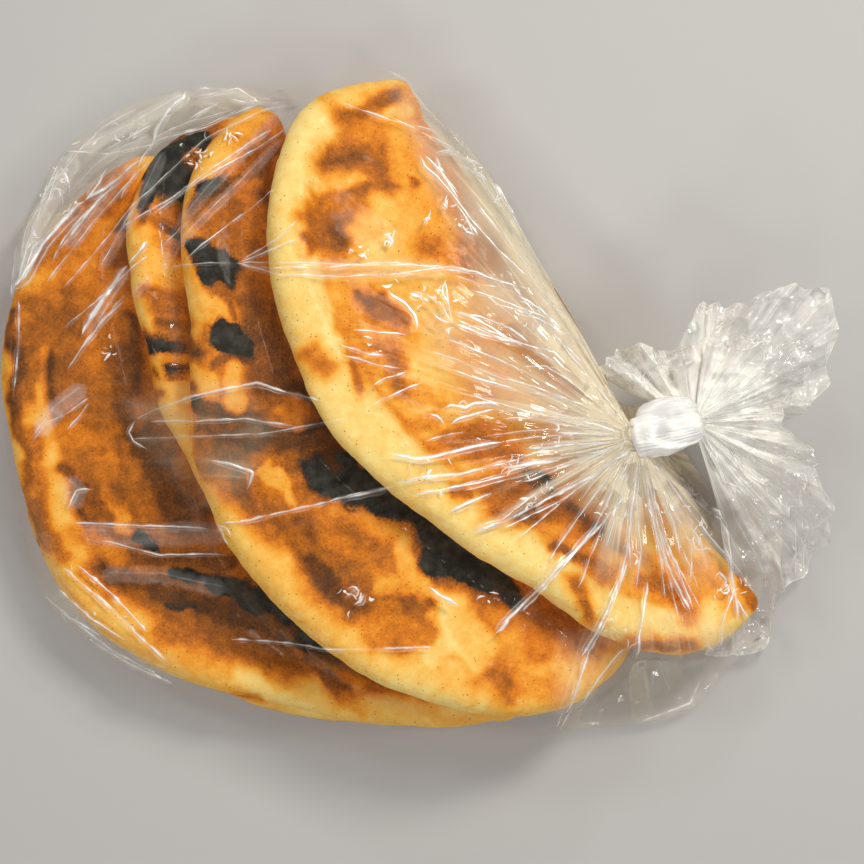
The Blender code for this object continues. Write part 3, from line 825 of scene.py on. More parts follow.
UPPER_MARKS = streaks(
    (ORANGE, -40, 129, -31, 112, 52, 60), (GOLD, -28, 129, -15, 131, 36, 60),
    (DARK, -20, 123, -11, 126, 24), (ORANGE, -27, 116, -15, 111, 48, 85), (BROWN, -22, 88, -30, 80, 20, 95),
    (BROWN, -30, 77, -41, 69, 52, 60), (BROWN, -40, 77, -31, 65, 52, 50), (DARK, -34, 70, -30, 67, 28, 75),
    (BROWN, -46, 68, -44, 61, 24, 70), (BROWN, -24, 44, -15, 41, 32, 85), (BROWN, -15, 41, -9, 34, 32, 90),
    (ORANGE, -32, 33, -9, 26, 59, 75), (ORANGE, -28, 22, -10, 14, 55, 70), (BROWN, -16, 22, -9, 18, 24, 70),
    (BROWN, -27, 15, -23, 8, 31, 75), (ORANGE, -10, 12, 7, 2, 51, 60), (BROWN, -45, 22, -39, 12, 35, 60),
    (ORANGE, -7, -6, 6, -7, 39, 95), (ORANGE, 10, -18, 34, -13, 71, 75), (BROWN, 13, -15, 31, -16, 40, 50),
    (BROWN, 11, -32, 19, -35, 27), (BROWN, 19, -10, 36, -18, 32, 50), (BROWN, 33, -35, 47, -37, 63, 85),
    (DARK, 41, -29, 47, -34, 36, 90), (CHAR, 47, -28, 51, -33, 24, 85), (BROWN, 50, -40, 71, -50, 64, 75),
    (DARK, 60, -40, 68, -45, 28), (DARK, 39, -41, 45, -46, 24, 75), (DARK, 73, -49, 80, -57, 32, 85),
    (ORANGE, 50, -51, 71, -56, 40, 70), (DARK, 53, -56, 63, -60, 20, 70), (BROWN, 64, -62, 74, -67, 28, 75),
    (ORANGE, 84, -60, 108, -75, 68, 75), (BROWN, 88, -72, 98, -74, 24, 75),
    (BROWN, 102, -76, 109, -84, 28, 50), (ORANGE, 113, -66, 125, -78, 57, 70),
    (BROWN, 130, -66, 135, -79, 36), (BROWN, 88, -95, 108, -96, 24), (BROWN, 60, -72, 68, -81, 32, 90),
    # Partly toast, partly painted shade: the BROWN streak from (19, 74) to (44, 36) darkens the right flank
    # where it turns away into shadow
    (BROWN, 19, 74, 44, 36, 53, 60), (BROWN, -35, 102, -15, 103, 40, 70),
    (BROWN, -15, 100, -18, 89, 36, 65), (BROWN, -7, 128, 1, 117, 37, 50), (BROWN, 4, 64, 22, 61, 52, 70),
    (ORANGE, 7, 97, 24, 78, 65, 70), (BROWN, 18, 84, 32, 60, 49, 60), (ORANGE, 40, 44, 52, 23, 49, 60),
    (BROWN, 79, -93, 108, -97, 24, 50), (BROWN, -32, 118, -15, 125, 24, 85),
    # Partly toast, partly painted shade: the two BROWN streaks from (8, 105) and (31, 68) darken the right
    # flank where it turns away into shadow
    (BROWN, 8, 105, 28, 76, 64, 50), (BROWN, 31, 68, 55, 32, 56, 50), (DARK, -20, 42, -12, 36, 28, 50),
    (BROWN, -36, 97, -28, 103, 48), (BROWN, -28, 103, -18, 101, 44), (BROWN, -16, 98, -13, 89, 32),
    (DARK, -35, 98, -22, 102, 24, 50), (BROWN, -43, 76, -30, 78, 44), (BROWN, -45, 65, -36, 65, 31),
    (DARK, -33, 72, -32, 66, 32, 60), (DARK, -24, 45, -15, 41, 24, 60), (BROWN, -15, 40, -9, 33, 32, 70),
    (BROWN, -10, 19, -7, 9, 24, 60), (DARK, -6, 95, -4, 90, 16, 50), (GOLD, -1, 105, 4, 78, 37, 60),
    (GOLD, 10, 72, 19, 43, 36, 50), (GOLD, -42, 87, -30, 87, 20, 75), (ORANGE, -38, 79, -28, 80, 20, 60),
    (GOLD, -12, 121, -10, 92, 28, 60),
)
UPPER = FoldedBread(
    name="upper",
    fold_start=(-0.010, 0.134),
    fold_end=(0.135, -0.079),
    reach=(127, 144, 138, 126, 114, 105, 99, 96, 98, 103, 121, 136, 134),
    under_reach=(127, 139, 131, 119, 107, 98, 92, 89, 91, 97, 114, 131, 134),
    lie=((0.0, 0.0145), (0.020, 0.023), (0.066, 0.0455), (0.100, 0.0620)),
    rim_toast=0.06,
    face_toast=0.27,
    seed=37,
    marks=UPPER_MARKS,
)


def widened(grid: Array) -> Array:
    """Widens the high places of a height grid by one cell.

    Args:
        grid: The heights.

    Returns:
        A grid in which each cell takes the highest of itself and its neighbours.
    """
    for axis in (0, 1):
        grid = np.maximum(grid, np.maximum(np.roll(grid, 1, axis), np.roll(grid, -1, axis)))
    return grid


def softened(grid: Array, axes: tuple[int, ...] = (0, 1)) -> Array:
    """Averages each cell of a grid with its neighbours.

    Args:
        grid: The values.
        axes: The axes to average along.

    Returns:
        The softer grid.
    """
    for axis in axes:
        grid = (np.roll(grid, 1, axis) + 2 * grid + np.roll(grid, -1, axis)) / 4
    return grid


def pulled_straight(run: Array, heights: Array) -> Array:
    """Finds the heights of a string pulled tight over the given ones.

    Args:
        run: Rising distances along the string.
        heights: What lies under it at each distance.

    Returns:
        The string's height at each distance.
    """
    hull = [0]
    for i in range(1, len(run)):
        while len(hull) > 1:
            a, b = hull[-2], hull[-1]
            cross = (run[b] - run[a]) * (heights[i] - heights[a])
            if cross < (heights[b] - heights[a]) * (run[i] - run[a]):
                break
            hull.pop()
        hull.append(i)
    return np.interp(run, run[hull], heights[hull])


def ridged(value: Array) -> Array:
    """A folded wave between 0 and 1 with sharp crests, one for each whole number."""
    return 1 - 2 * np.abs(value % 1 - 0.5)


def creased(points: Array, size: float, seed: int) -> Array:
    """Unevenness between about -1 and 1 that is made of slopes meeting in sharp crests."""
    return 0.9 - 3.2 * np.abs(unevenness(points, size, seed))


def closed_curve(corners: Array, count: int) -> Array:
    """Evenly spaced points on a smooth closed curve through the given ones.

    Args:
        corners: Places in plan, in order round the curve.
        count: How many points to give.

    Returns:
        The points, one a row.
    """
    wrapped = np.vstack([corners[-3:], corners, corners[:4]])
    steps = np.sqrt(np.linalg.norm(np.diff(wrapped, axis=0), axis=1))
    keys = np.concatenate([[0], np.cumsum(steps)])
    dense = np.linspace(keys[3], keys[3 + len(corners)], 6000)
    curve = np.stack([smooth_through(keys, wrapped[:, i], dense) for i in (0, 1)], axis=1)
    run = np.concatenate([[0], np.cumsum(np.linalg.norm(np.diff(curve, axis=0), axis=1))])
    even = np.arange(count) / count * run[-1]
    return np.stack([np.interp(even, run, curve[:, i]) for i in (0, 1)], axis=1)


def piece_points(piece: bpy.types.Object) -> Array:
    """Reads the places of a piece's points.

    Args:
        piece: A mesh piece.

    Returns:
        The places, one a row.
    """
    flat = np.empty(len(piece.data.vertices) * 3)
    piece.data.vertices.foreach_get("co", flat)
    return flat.reshape(-1, 3)


def surface_of(pieces: list[bpy.types.Object]) -> BVHTree:
    """Sorts the faces of some pieces, for finding how high they lie.

    Args:
        pieces: The pieces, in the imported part's frame.

    Returns:
        A tree of all their faces.
    """
    points, faces, first = [], [], 0
    for piece in pieces:
        places = piece_points(piece)
        points.extend(places.tolist())
        faces.extend(tuple(first + corner for corner in face.vertices) for face in piece.data.polygons)
        first += len(places)
    return BVHTree.FromPolygons(points, faces)


def height_over(surface: BVHTree, x: float, y: float) -> float | None:
    """How high the top of a surface lies at a place in plan, or None beside it."""
    hit = surface.ray_cast(Vector((x, y, RAY_START)), Vector((0, 0, -1)))[0]
    return hit.z if hit else None


def sheet_faces(rows: int, columns: int) -> list[tuple[int, ...]]:
    """Faces of an open sheet of points.

    Args:
        rows: Number of its rows.
        columns: Number of points in each row.

    Returns:
        The corners of every face.
    """
    return [
        (i * columns + j, (i + 1) * columns + j, (i + 1) * columns + j + 1, i * columns + j + 1)
        for i in range(rows - 1)
        for j in range(columns - 1)
    ]


def place_film(piece: bpy.types.Object, film: bpy.types.Material) -> bpy.types.Object:
    """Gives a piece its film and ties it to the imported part.

    Args:
        piece: The piece.
        film: Its material.

    Returns:
        The same piece.
    """
    piece.data.materials.append(film)
    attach(piece, BODY)
    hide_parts(NODE)
    return piece


@dataclass(frozen=True)
class HeightMap:
    """How high the tops of some pieces lie, on a square grid seen from above."""

    heights: Array
    cell: float
    half: float

    @classmethod
    def over(cls, pieces: list[bpy.types.Object], cell: float = 0.002, half: float = 0.19) -> "HeightMap":
        """Reads the tops of the pieces.

        Args:
            pieces: Finely meshed pieces.
            cell: Side of a grid cell.
            half: Half the side of the whole grid, round the origin.

        Returns:
            The map, a little widened and softened as film would bridge it.
        """
        side = int(2 * half / cell)
        heights = np.zeros((side, side))
        for piece in pieces:
            points = piece_points(piece)
            x, y = ((points[:, :2] + half) / cell).astype(int).T
            np.maximum.at(heights, (x, y), points[:, 2])
        return cls(softened(widened(heights)), cell, half)

    def read(self, places: Array) -> Array:
        """Reads the map, blended between the grid's cells.

        Args:
            places: Places in plan.

        Returns:
            The height at each.
        """
        spot = (places + self.half) / self.cell - 0.5
        cell = np.clip(np.floor(spot).astype(int), 0, len(self.heights) - 2)
        x, y = np.moveaxis(spot - cell, -1, 0)
        i, j = np.moveaxis(cell, -1, 0)
        grid = self.heights
        near = grid[i, j] * (1 - y) + grid[i, j + 1] * y
        far = grid[i + 1, j] * (1 - y) + grid[i + 1, j + 1] * y
        return near * (1 - x) + far * x


@dataclass(frozen=True)
class PolytheneFilm:
    """Thin clear polythene: glossy on both faces, milky where gathered, crumpled into facets."""

    name: str
    milk: str = "#F8EDCE"
    face_reflectance: float = 0.09  # of both faces of the sheet, looked at squarely
    roughness: float = 0.09
    pleat_mm: float = 4.5
    pleat_share: float = 0.42  # how much milkier or clearer than the mean a pleat may be
    line_share: float = 0.5  # how much milkier the fold between two pleats is
    pleat_height: float = 0.5  # mm
    facet_mm: float = 7.0
    facet_lean: float = 1.0
    through: float = 0.18  # of the light that the milk scatters, how much goes on through

    def material(self) -> bpy.types.Material:
        """Builds the film's shader from the haze, crinkle, pull and sheen values of its points.

        Returns:
            The material: clear, milky by the haze, and mirror-like at any facet that
            turns towards a light.
        """
        made = bare_material(self.name)
        tree = made.node_tree
        place = add_node(tree, "TexCoord").outputs["Object"]
        haze, crinkle, sheen = (
            add_node(tree, "Attribute", attribute_name=name).outputs["Fac"]
            for name in ("haze", "crinkle", "sheen")
        )
        pull = add_node(tree, "Attribute", attribute_name="pull").outputs["Vector"]
        # Pleats: film drawn to the knot lies in long bands, each as milky as its layers are many
        bands = {"Vector": pull, "Scale": 1 / self.pleat_mm}
        band = add_node(tree, "TexVoronoi", bands, voronoi_dimensions="2D").outputs["Color"]
        border = add_node(tree, "TexVoronoi", bands, voronoi_dimensions="2D", feature="DISTANCE_TO_EDGE")
        tone = add_node(tree, "SeparateColor", {"Color": band})
        fold = add_node(
            tree,
            "MapRange",
            {"Value": border, "From Min": 0.0, "From Max": 0.09, "To Min": self.line_share, "To Max": 0.0},
        )
        spread = {0: tone, 1: 2 * self.pleat_share, 2: 1 - self.pleat_share}
        layers = add_node(tree, "Math", spread, operation="MULTIPLY_ADD")
        kept = add_node(tree, "Math", {0: layers, 1: fold}, operation="ADD")
        milky = add_node(tree, "Math", {0: haze, 1: kept}, operation="MULTIPLY", use_clamp=True)
        # Facets: slack film is crumpled into small flats that each lean their own way
        cells = add_node(tree, "TexVoronoi", {"Vector": place, "Scale": 1 / (self.facet_mm * MM)})
        halves = {0: cells.outputs["Color"], 1: (0.5, 0.5, 0.5)}
        either = add_node(tree, "VectorMath", halves, operation="SUBTRACT")
        much = add_node(tree, "Math", {0: crinkle, 1: self.facet_lean}, operation="MULTIPLY")
        lean = add_node(tree, "VectorMath", {0: either, "Scale": much}, operation="SCALE")
        square = add_node(tree, "NewGeometry").outputs["Normal"]
        leaning = add_node(tree, "VectorMath", {0: square, 1: lean}, operation="ADD")
        facet = add_node(tree, "VectorMath", {0: leaning}, operation="NORMALIZE")
        ridge = {"Strength": milky, "Distance": self.pleat_height * MM, "Height": border, "Normal": facet}
        bumps = add_node(tree, "Bump", ridge)
        # Both faces mirror, the more the more aslant they are seen
        facing = add_node(tree, "LayerWeight", {"Blend": 0.5}).outputs["Facing"]
        aslant = add_node(tree, "Math", {0: facing, 1: 5.0}, operation="POWER")
        least = self.face_reflectance
        whole = add_node(tree, "Math", {0: aslant, 1: 1 - least, 2: least}, operation="MULTIPLY_ADD")
        # Where the film clings to the dough it lies matt, so only loose film and folds shine
        mirror = add_node(tree, "Math", {0: whole, 1: sheen}, operation="MULTIPLY")
        gloss = add_node(tree, "BsdfAnisotropic", {"Roughness": self.roughness, "Normal": bumps})
        milk = linear(self.milk)
        clear = add_node(tree, "BsdfTransparent")
        lit = add_node(tree, "BsdfDiffuse", {"Color": milk, "Normal": bumps})
        glow = add_node(tree, "BsdfTranslucent", {"Color": milk, "Normal": bumps})
        scatter = add_node(tree, "MixShader", {0: self.through, 1: lit, 2: glow})
        body = add_node(tree, "MixShader", {0: milky, 1: clear, 2: scatter})
        surface = add_node(tree, "MixShader", {0: mirror, 1: body, 2: gloss})
        add_node(tree, "OutputMaterial", {"Surface": surface})
        return made


def drawn_to(
    points: Array, centre: Array, seam: float, seed: int, round_mm: float = 60.0, along: float = 40.0
) -> Array:
    """Places on a flat pattern that is stretched along the lines to a centre.

    Args:
        points: Places on the film, in metres.
        centre: Where the film is gathered.
        seam: The direction in degrees, out of sight, in which the pattern starts and ends.
        seed: Which noise bends the lines.
        round_mm: Length in mm that a turn of one radian gives.
        along: How many times longer than wide the pattern is.

    Returns:
        One place in the pattern, in mm, for each point.
    """
    away = points[..., :2] - centre[:2]
    run = np.linalg.norm(away, axis=-1)
    turn = (np.arctan2(away[..., 1], away[..., 0]) - math.radians(seam)) % (2 * math.pi)
    turn = turn + 0.05 * unevenness(points, 0.05, seed)
    return np.stack([turn * round_mm, run / MM / along, run * 0], axis=-1)


@dataclass(frozen=True)
class Veil:
    """A part of the bag where the film lies in more layers or slack, and looks milky."""

    corners: tuple[Place, ...]  # mm, in order round it
    share: float
    border: float = 6.0  # mm

    def cover(self, places: Array) -> Array:
        """How much milk the veil adds.

        Args:
            places: Places in plan, in mm.

        Returns:
            Shares from 0 outside it to its own share inside.
        """
        corners = np.array(self.corners, float)
        inside = np.zeros(places.shape[:-1], bool)
        nearest = np.full(places.shape[:-1], np.inf)
        for start, end in zip(corners, np.roll(corners, -1, axis=0)):
            run = end - start
            nearest = np.minimum(nearest, distance_from(places, start, end))
            spans = (start[1] > places[..., 1]) != (end[1] > places[..., 1])
            rise = run[1] if abs(run[1]) > 1e-9 else 1e-9
            inside ^= spans & (places[..., 0] < start[0] + (places[..., 1] - start[1]) * run[0] / rise)
        half = self.border / 2
        return self.share * smoothstep(-half, half, np.where(inside, nearest, -nearest))


@dataclass(frozen=True)
class Bundle:
    """Film that runs to the knot in many layers, and looks milky in that direction."""

    turn: float  # degrees, as seen from the knot
    half: float  # degrees to either side
    reach: float  # mm
    share: float

    def cover(self, turn: Array, run: Array) -> Array:
        """How much milk the bundle adds.

        Args:
            turn: Direction of each place from the knot.
            run: Distance of each place from the knot.

        Returns:
            Shares from 0 outside it to its own share inside, near the knot.
        """
        off = (turn - math.radians(self.turn) + math.pi) % (2 * math.pi) - math.pi
        side = np.exp(-((off / math.radians(self.half)) ** 4))
        return self.share * side * (1 - smoothstep(0.25, 1.0, run / MM / self.reach))


@dataclass(frozen=True)
class FilmBody:
    """The film drawn over the breads, from the knot's mouth out to the bag's edge and under it."""

    mouth: tuple[float, float, float] = (0.0846, -0.0122, 0.0630)
    mouth_half: float = 0.0050
    seam: float = -8.0
    outline: tuple[Place, ...] = (  # mm
        (98, 0), (82, 2), (57, 47), (24, 103), (7, 123), (-9, 137), (-24, 139), (-51, 132), (-78, 134),
        (-113, 130), (-142, 115), (-156, 98), (-167, 67), (-174, 32), (-173, 3), (-168, -38),
        (-161, -63), (-154, -80), (-144, -91), (-109, -113), (-55, -130), (3, -138), (57, -135),
        (111, -127), (121, -117), (146, -82), (140, -62), (112, -22),
    )
    veils: tuple[Veil, ...] = ()
    bundles: tuple[Bundle, ...] = ()
    slack: float = 0.0012
    least_gap: float = 0.0004
    least_height: float = 0.008
    taut: float = 0.24
    taut_near_knot: float = 0.05
    passes: int = 16  # how often the draped heights are softened
    pleat_run: float = 0.042  # distance from the mouth at which the pleats stand highest
    # Pleats: number round the mouth, sway with its waves and phase, bias and height
    pleats: tuple[tuple[float, ...], ...] = (
        (15, 0.4, 5, 0, 0.3, 0.0018),
        (58, 1.3, 3, 1, 0.4, 0.0006),
        (171, 1.9, 2, 2, 0.4, 0.00016),
    )
    crumples: tuple[Pair, ...] = ((0.0016, 0.034), (0.0007, 0.012))  # heights and sizes
    loose_gap: Pair = (0.006, 0.018)  # gap to the breads at which film counts as taut, and as slack
    gather_run: Pair = (0.004, 0.036)  # distance from the mouth over which the milk thins out
    edge_round: float = 0.010
    edge_squareness: float = 2.4
    least_edge: float = 0.006
    most_edge: float = 0.016
    spokes: int = 530
    top_rings: int = 138
    edge_rings: int = 7
    base_rings: int = 4
    clearer_below: float = 0.75

    def places(self) -> tuple[Array, Array, Array]:
        """Lays the rays from the mouth out to the edge.

        Returns:
            The edge's points, the places of the upper side in plan (ring by ring) and
            the distance of each from the mouth.
        """
        edge = closed_curve(np.array(self.outline) / PER_METRE, self.spokes)
        mouth = np.array(self.mouth[:2])
        away = edge - mouth
        length = np.linalg.norm(away, axis=1)[:, None]
        start = mouth + away / length * self.mouth_half
        inner = edge - away / length * self.edge_round
        shares = np.linspace(0, 1, self.top_rings + 1)
        run = shares[:, None] * np.linalg.norm(inner - start, axis=1)
        return edge, start + shares[:, None, None] * (inner - start), run

    def drape(self, places: Array, run: Array, contents: HeightMap) -> Array:
        """Draws the film over the breads.

        Args:
            places: Places in plan, ring by ring.
            run: Distance of each from the mouth.
            contents: How high the breads lie.

        Returns:
            The film's height at each place, without its pleats.
        """
        lying = np.maximum(contents.read(places) + self.slack, self.least_height)
        lying[0] = self.mouth[2]
        heights = np.empty_like(lying)
        for k in range(self.spokes):
            tight = pulled_straight(run[:, k], lying[:, k])
            share = self.taut + (1 - self.taut) * np.exp(-run[:, k] / self.taut_near_knot)
            heights[:, k] = lying[:, k] + share * (tight - lying[:, k])
        for _ in range(self.passes):
            heights = softened(heights, axes=(1,))
            heights[1:-1] = (heights[:-2] + 2 * heights[1:-1] + heights[2:]) / 4
        return heights

    def relief(self, points: Array, run: Array, slackness: Array) -> Array:
        """How far pleats and crumples lift the film.

        Args:
            points: Places of the plain film.
            run: Distance of each from the mouth.
            slackness: How loosely the film lies, from 0 to 1.

        Returns:
            A lift for each place.
        """
        turn = np.arctan2(points[..., 1] - self.mouth[1], points[..., 0] - self.mouth[0])
        turn = turn + 0.035 * unevenness(points, 0.06, 71)
        fade = run / self.pleat_run * np.exp(1 - run / self.pleat_run)
        lift = fade * sum(
            height * (ridged(count * turn / (2 * math.pi) + sway * np.sin(waves * turn + phase)) - bias)
            for count, sway, waves, phase, bias, height in self.pleats
        )
        start = np.minimum(1, run / self.pleat_run)
        loose = sum(
            height * creased(points, size, 72 + k) for k, (height, size) in enumerate(self.crumples)
        )
        return lift + start * loose * (0.10 + 0.90 * slackness)

    def values(self, points: Array, run: Array, slackness: Array) -> dict[str, Array]:
        """Haze, crinkle, sheen and pull values of the film.

        Args:
            points: Places on the film.
            run: Distance of each from the mouth.
            slackness: How loosely the film lies, from 0 to 1.

        Returns:
            The four values, by name.
        """
        gathered = 0.96 * (1 - smoothstep(*self.gather_run, run)) ** 1.1
        haze = 0.015 + gathered + 0.03 * slackness
        turn = np.arctan2(points[..., 1] - self.mouth[1], points[..., 0] - self.mouth[0])
        turn = turn + 0.03 * unevenness(points, 0.03, 76)
        for bundle in self.bundles:
            haze = haze + (1 - haze) * bundle.cover(turn, run)
        crinkle = 0.02 + 0.8 * slackness
        for veil in self.veils:
            cover = veil.cover(points[..., :2] / MM) * (1 + 0.7 * unevenness(points, 0.017, 75))
            haze = haze + (1 - haze) * cover
            crinkle = crinkle + 1.6 * cover
        return {
            "haze": np.maximum(np.clip(haze, 0, 0.97), 1.8 * (1 - smoothstep(0.004, 0.030, run))),
            "crinkle": np.clip(crinkle, 0, 1),
            "sheen": np.clip(0.03 + 0.95 * slackness + 0.3 * gathered, 0, 1),
            "pull": drawn_to(points, np.array(self.mouth), self.seam, 74),
        }

    def dress(self, film: bpy.types.Material, contents: HeightMap) -> bpy.types.Object:
        """Makes the film's piece.

        Args:
            film: Its material.
            contents: How high the breads lie.

        Returns:
            The piece, a closed sheet round the breads.
        """
        edge, places, run = self.places()
        plain = self.drape(places, run, contents)
        gap = plain - contents.read(places)
        slackness = smoothstep(*self.loose_gap, gap)
        top = np.concatenate([places, plain[..., None]], axis=-1)
        top[..., 2] += self.relief(top, run, slackness)
        top[1:, :, 2] = np.maximum(top[1:, :, 2], contents.read(places[1:]) + self.least_gap)
        values = self.values(top, run, slackness)

        shoulder = top[-1, :, 2]
        thick = np.clip(shoulder / 2, self.least_edge, self.most_edge)
        rows = []
        for step in np.linspace(0, 2, 2 * self.edge_rings + 1)[1:]:
            inward = 1 - math.cos(abs(step - 1) * math.pi / 2)
            bow = (1 - (1 - inward) ** self.edge_squareness) ** (1 / self.edge_squareness)
            rise = shoulder - thick if step < 1 else -thick
            plan = edge + (places[-1] - edge) * inward
            rows.append(np.concatenate([plan, (thick + rise * bow)[:, None]], axis=1))
        middle = np.append(edge.mean(axis=0), 0.0)
        for share in np.linspace(0, 1, self.base_rings + 1)[1:-1]:
            rows.append(rows[2 * self.edge_rings - 1] * (1 - share) + middle * share)
        under = np.array(rows)
        points = capped(np.concatenate([top[1:], under]), self.mouth, middle)
        below = np.ones(under.shape[:2])
        rest = {key: below * values[key][-1] for key in ("haze", "crinkle", "sheen")}
        rest["haze"] *= 1 - self.clearer_below * np.linspace(0.2, 1, len(under))[:, None] ** 0.5
        rest["pull"] = drawn_to(under, np.array(self.mouth), self.seam, 74)
        joined = {
            key: capped(np.concatenate([value[1:], rest[key]]), value[0, 0], rest[key][-1, 0])
            for key, value in values.items()
        }
        rings = self.top_rings + len(under)
        return place_film(new_piece("film_body", points, capped_faces(rings, self.spokes), joined), film)


@dataclass(frozen=True)
class Wrap:
    """One turn of the overhand knot: gathered film drawn tight into a blunt, folded roll."""

    name: str
    start: tuple[float, float, float]
    end: tuple[float, float, float]
    girth: tuple[Pair, ...]  # pairs of share of the way and radius in mm
    folds: int = 3
    fold_height: float = 0.0019
    twist: float = 0.8
    dent: float = 0.0011
    pleats: int = 23
    pleat: float = 0.00045
    haze: float = 0.95
    sheen: float = 0.6
    rings: int = 84
    spokes: int = 150

    def points(self) -> tuple[Array, Array]:
        """Winds the roll.

        Returns:
            Its rings of points, and the places of its fine pleats in the pattern of pleats.
        """
        axis = np.subtract(self.end, self.start)
        length = np.linalg.norm(axis)
        axis = axis / length
        side = np.cross(axis, (0, 0, 1))
        side = side / np.linalg.norm(side)
        over = np.cross(side, axis)
        sweeps = np.linspace(0.004, 0.996, self.rings)
        turn, sweep = np.meshgrid(np.arange(self.spokes) / self.spokes, sweeps)
        along = 0.5 - 0.5 * np.cos(math.pi * sweep)
        angle = 2 * math.pi * turn
        radius = smooth_through(*zip(*self.girth), along) * MM
        swell = np.sin(math.pi * along) ** 0.7
        lap = (self.folds * turn + self.twist * along + 0.12 * np.sin(2 * angle)) % 1
        step = lap * (1 - smoothstep(0.90, 1.0, lap)) - 0.45
        fine = ridged(self.pleats * turn + 0.6 * np.sin(5 * angle) + 1.5 * along) - 0.5
        around = np.cos(angle)[..., None] * side + np.sin(angle)[..., None] * over
        middle = np.array(self.start) + axis * (length * along)[..., None]
        plain = middle + around * radius[..., None]
        dents = unevenness(plain, 0.009, self.folds) + 0.4 * unevenness(plain, 0.004, self.folds + 1)
        radius = radius + (self.fold_height * step + self.pleat * fine + self.dent * dents) * swell
        places = middle + around * radius[..., None]
        pattern = np.stack([angle * 9, along * length / MM / 9, along * 0], axis=-1)
        return places, pattern

    def dress(self, film: bpy.types.Material) -> bpy.types.Object:
        """Makes the turn's piece.

        Args:
            film: Its material.

        Returns:
            The piece.
        """
        places, pattern = self.points()
        joined = capped(places, places[0].mean(axis=0), places[-1].mean(axis=0))
        layers = self.haze * (1 + 0.18 * creased(joined, 0.007, 5))
        values = {
            "haze": np.clip(layers, 0, 1),
            "crinkle": np.zeros(len(joined)),
            "sheen": np.full(len(joined), self.sheen),
            "pull": capped(pattern, pattern[0, 0], pattern[-1, 0]),
        }
        return place_film(new_piece(self.name, joined, capped_faces(self.rings, self.spokes), values), film)


KNOT = (
    Wrap(
        name="knot_barrel",
        start=(0.0822, -0.0138, 0.0568),
        end=(0.1112, -0.0066, 0.0580),
        girth=(
            (0, 4.0), (0.06, 7.6), (0.18, 8.6), (0.45, 7.9), (0.75, 6.9), (0.90, 6.2), (0.97, 4.4),
            (1, 2.0),
        ),
    ),
    Wrap(
        name="knot_turn",
        start=(0.0846, -0.0070, 0.0545),
        end=(0.1092, -0.0006, 0.0570),
        girth=((0, 1.5), (0.08, 4.2), (0.3, 6.4), (0.55, 6.8), (0.8, 5.8), (0.95, 3.8), (1, 1.6)),
        folds=4,
        fold_height=0.0022,
        haze=0.80,
    ),
)


@dataclass(frozen=True)
class FrillLayer:
    """One layer of the bag's open end beyond the knot: a crumpled fan of pleats."""

    name: str
    seed: int
    turns: tuple[float, ...]  # degrees, from the frill's one side to its other
    reach: tuple[int, ...]  # mm
    edge: tuple[int, ...]  # height of its rim, mm
    start: tuple[float, float, float] = (0.1075, -0.0066, 0.0572)
    root: float = 0.0030
    pleats: float = 9.0
    wave: float = 0.0135
    crumple: float = 0.0045
    crumple_size: float = 0.019
    crumples: tuple[Pair, ...] = ((1.0, 1.0), (0.42, 0.45), (0.10, 0.22))  # shares of height and size
    least_height: float = 0.0016
    curl: float = 14.0  # degrees that the last side turns back at the edge
    haze: float = 0.50
    seam: float = 195.0
    spokes: int = 400
    rings: int = 84

    def dress(self, film: bpy.types.Material) -> bpy.types.Object:
        """Makes the layer's piece.

        Args:
            film: Its material.

        Returns:
            The piece, an open sheet.
        """
        across, out = np.meshgrid(np.linspace(0, 1, self.spokes), np.linspace(0, 1, self.rings))
        turn = self.turns[-1] + (self.turns[0] - self.turns[-1]) * across
        reach = smooth_through(self.turns, np.divide(self.reach, PER_METRE), turn)
        reach = reach * (1 + 0.05 * (ridged(23 * across + 0.5 * np.sin(17 * across)) - 0.5))
        edge = smooth_through(self.turns, np.divide(self.edge, PER_METRE), turn)
        run = self.root + reach * out
        turn = np.radians(turn - self.curl * out**3 * across**4)
        x = self.start[0] + run * np.cos(turn)
        y = self.start[1] + run * np.sin(turn)
        flat = np.stack([x, y, np.full_like(x, 0.02 * self.seed)], axis=-1)
        fold = ridged(self.pleats * across + 0.35 * np.sin(9 * across)) - 0.5
        fold = fold + 0.16 * (ridged(3.7 * self.pleats * across + np.sin(14 * across)) - 0.5)
        rough = sum(
            share * creased(flat, self.crumple_size * size, self.seed + k)
            for k, (share, size) in enumerate(self.crumples)
        )
        wave = self.wave * fold * out**1.15 + self.crumple * rough * out**0.8
        height = self.start[2] + (edge - self.start[2]) * out**0.8 + wave
        points = np.stack([x, y, np.maximum(height, self.least_height)], axis=-1)
        gathered = (1 - smoothstep(0.002, 0.046, run)) ** 1.2
        haze = self.haze * (1 + 0.45 * unevenness(flat, 0.022, self.seed + 3)) + 1.7 * gathered
        haze = (haze + 0.35 * smoothstep(0.985, 1.0, out)) * (0.5 + 0.5 * smoothstep(0, 0.14, 1 - across))
        values = {
            "haze": np.clip(haze, 0, 1.5),
            "crinkle": np.clip(0.15 + 0.6 * out, 0, 1),
            "sheen": 0.4 + 0.6 * out,
            "pull": drawn_to(points, np.array(self.start), self.seam, self.seed + 4, along=30.0),
        }
        return place_film(new_piece(self.name, points, sheet_faces(self.rings, self.spokes), values), film)


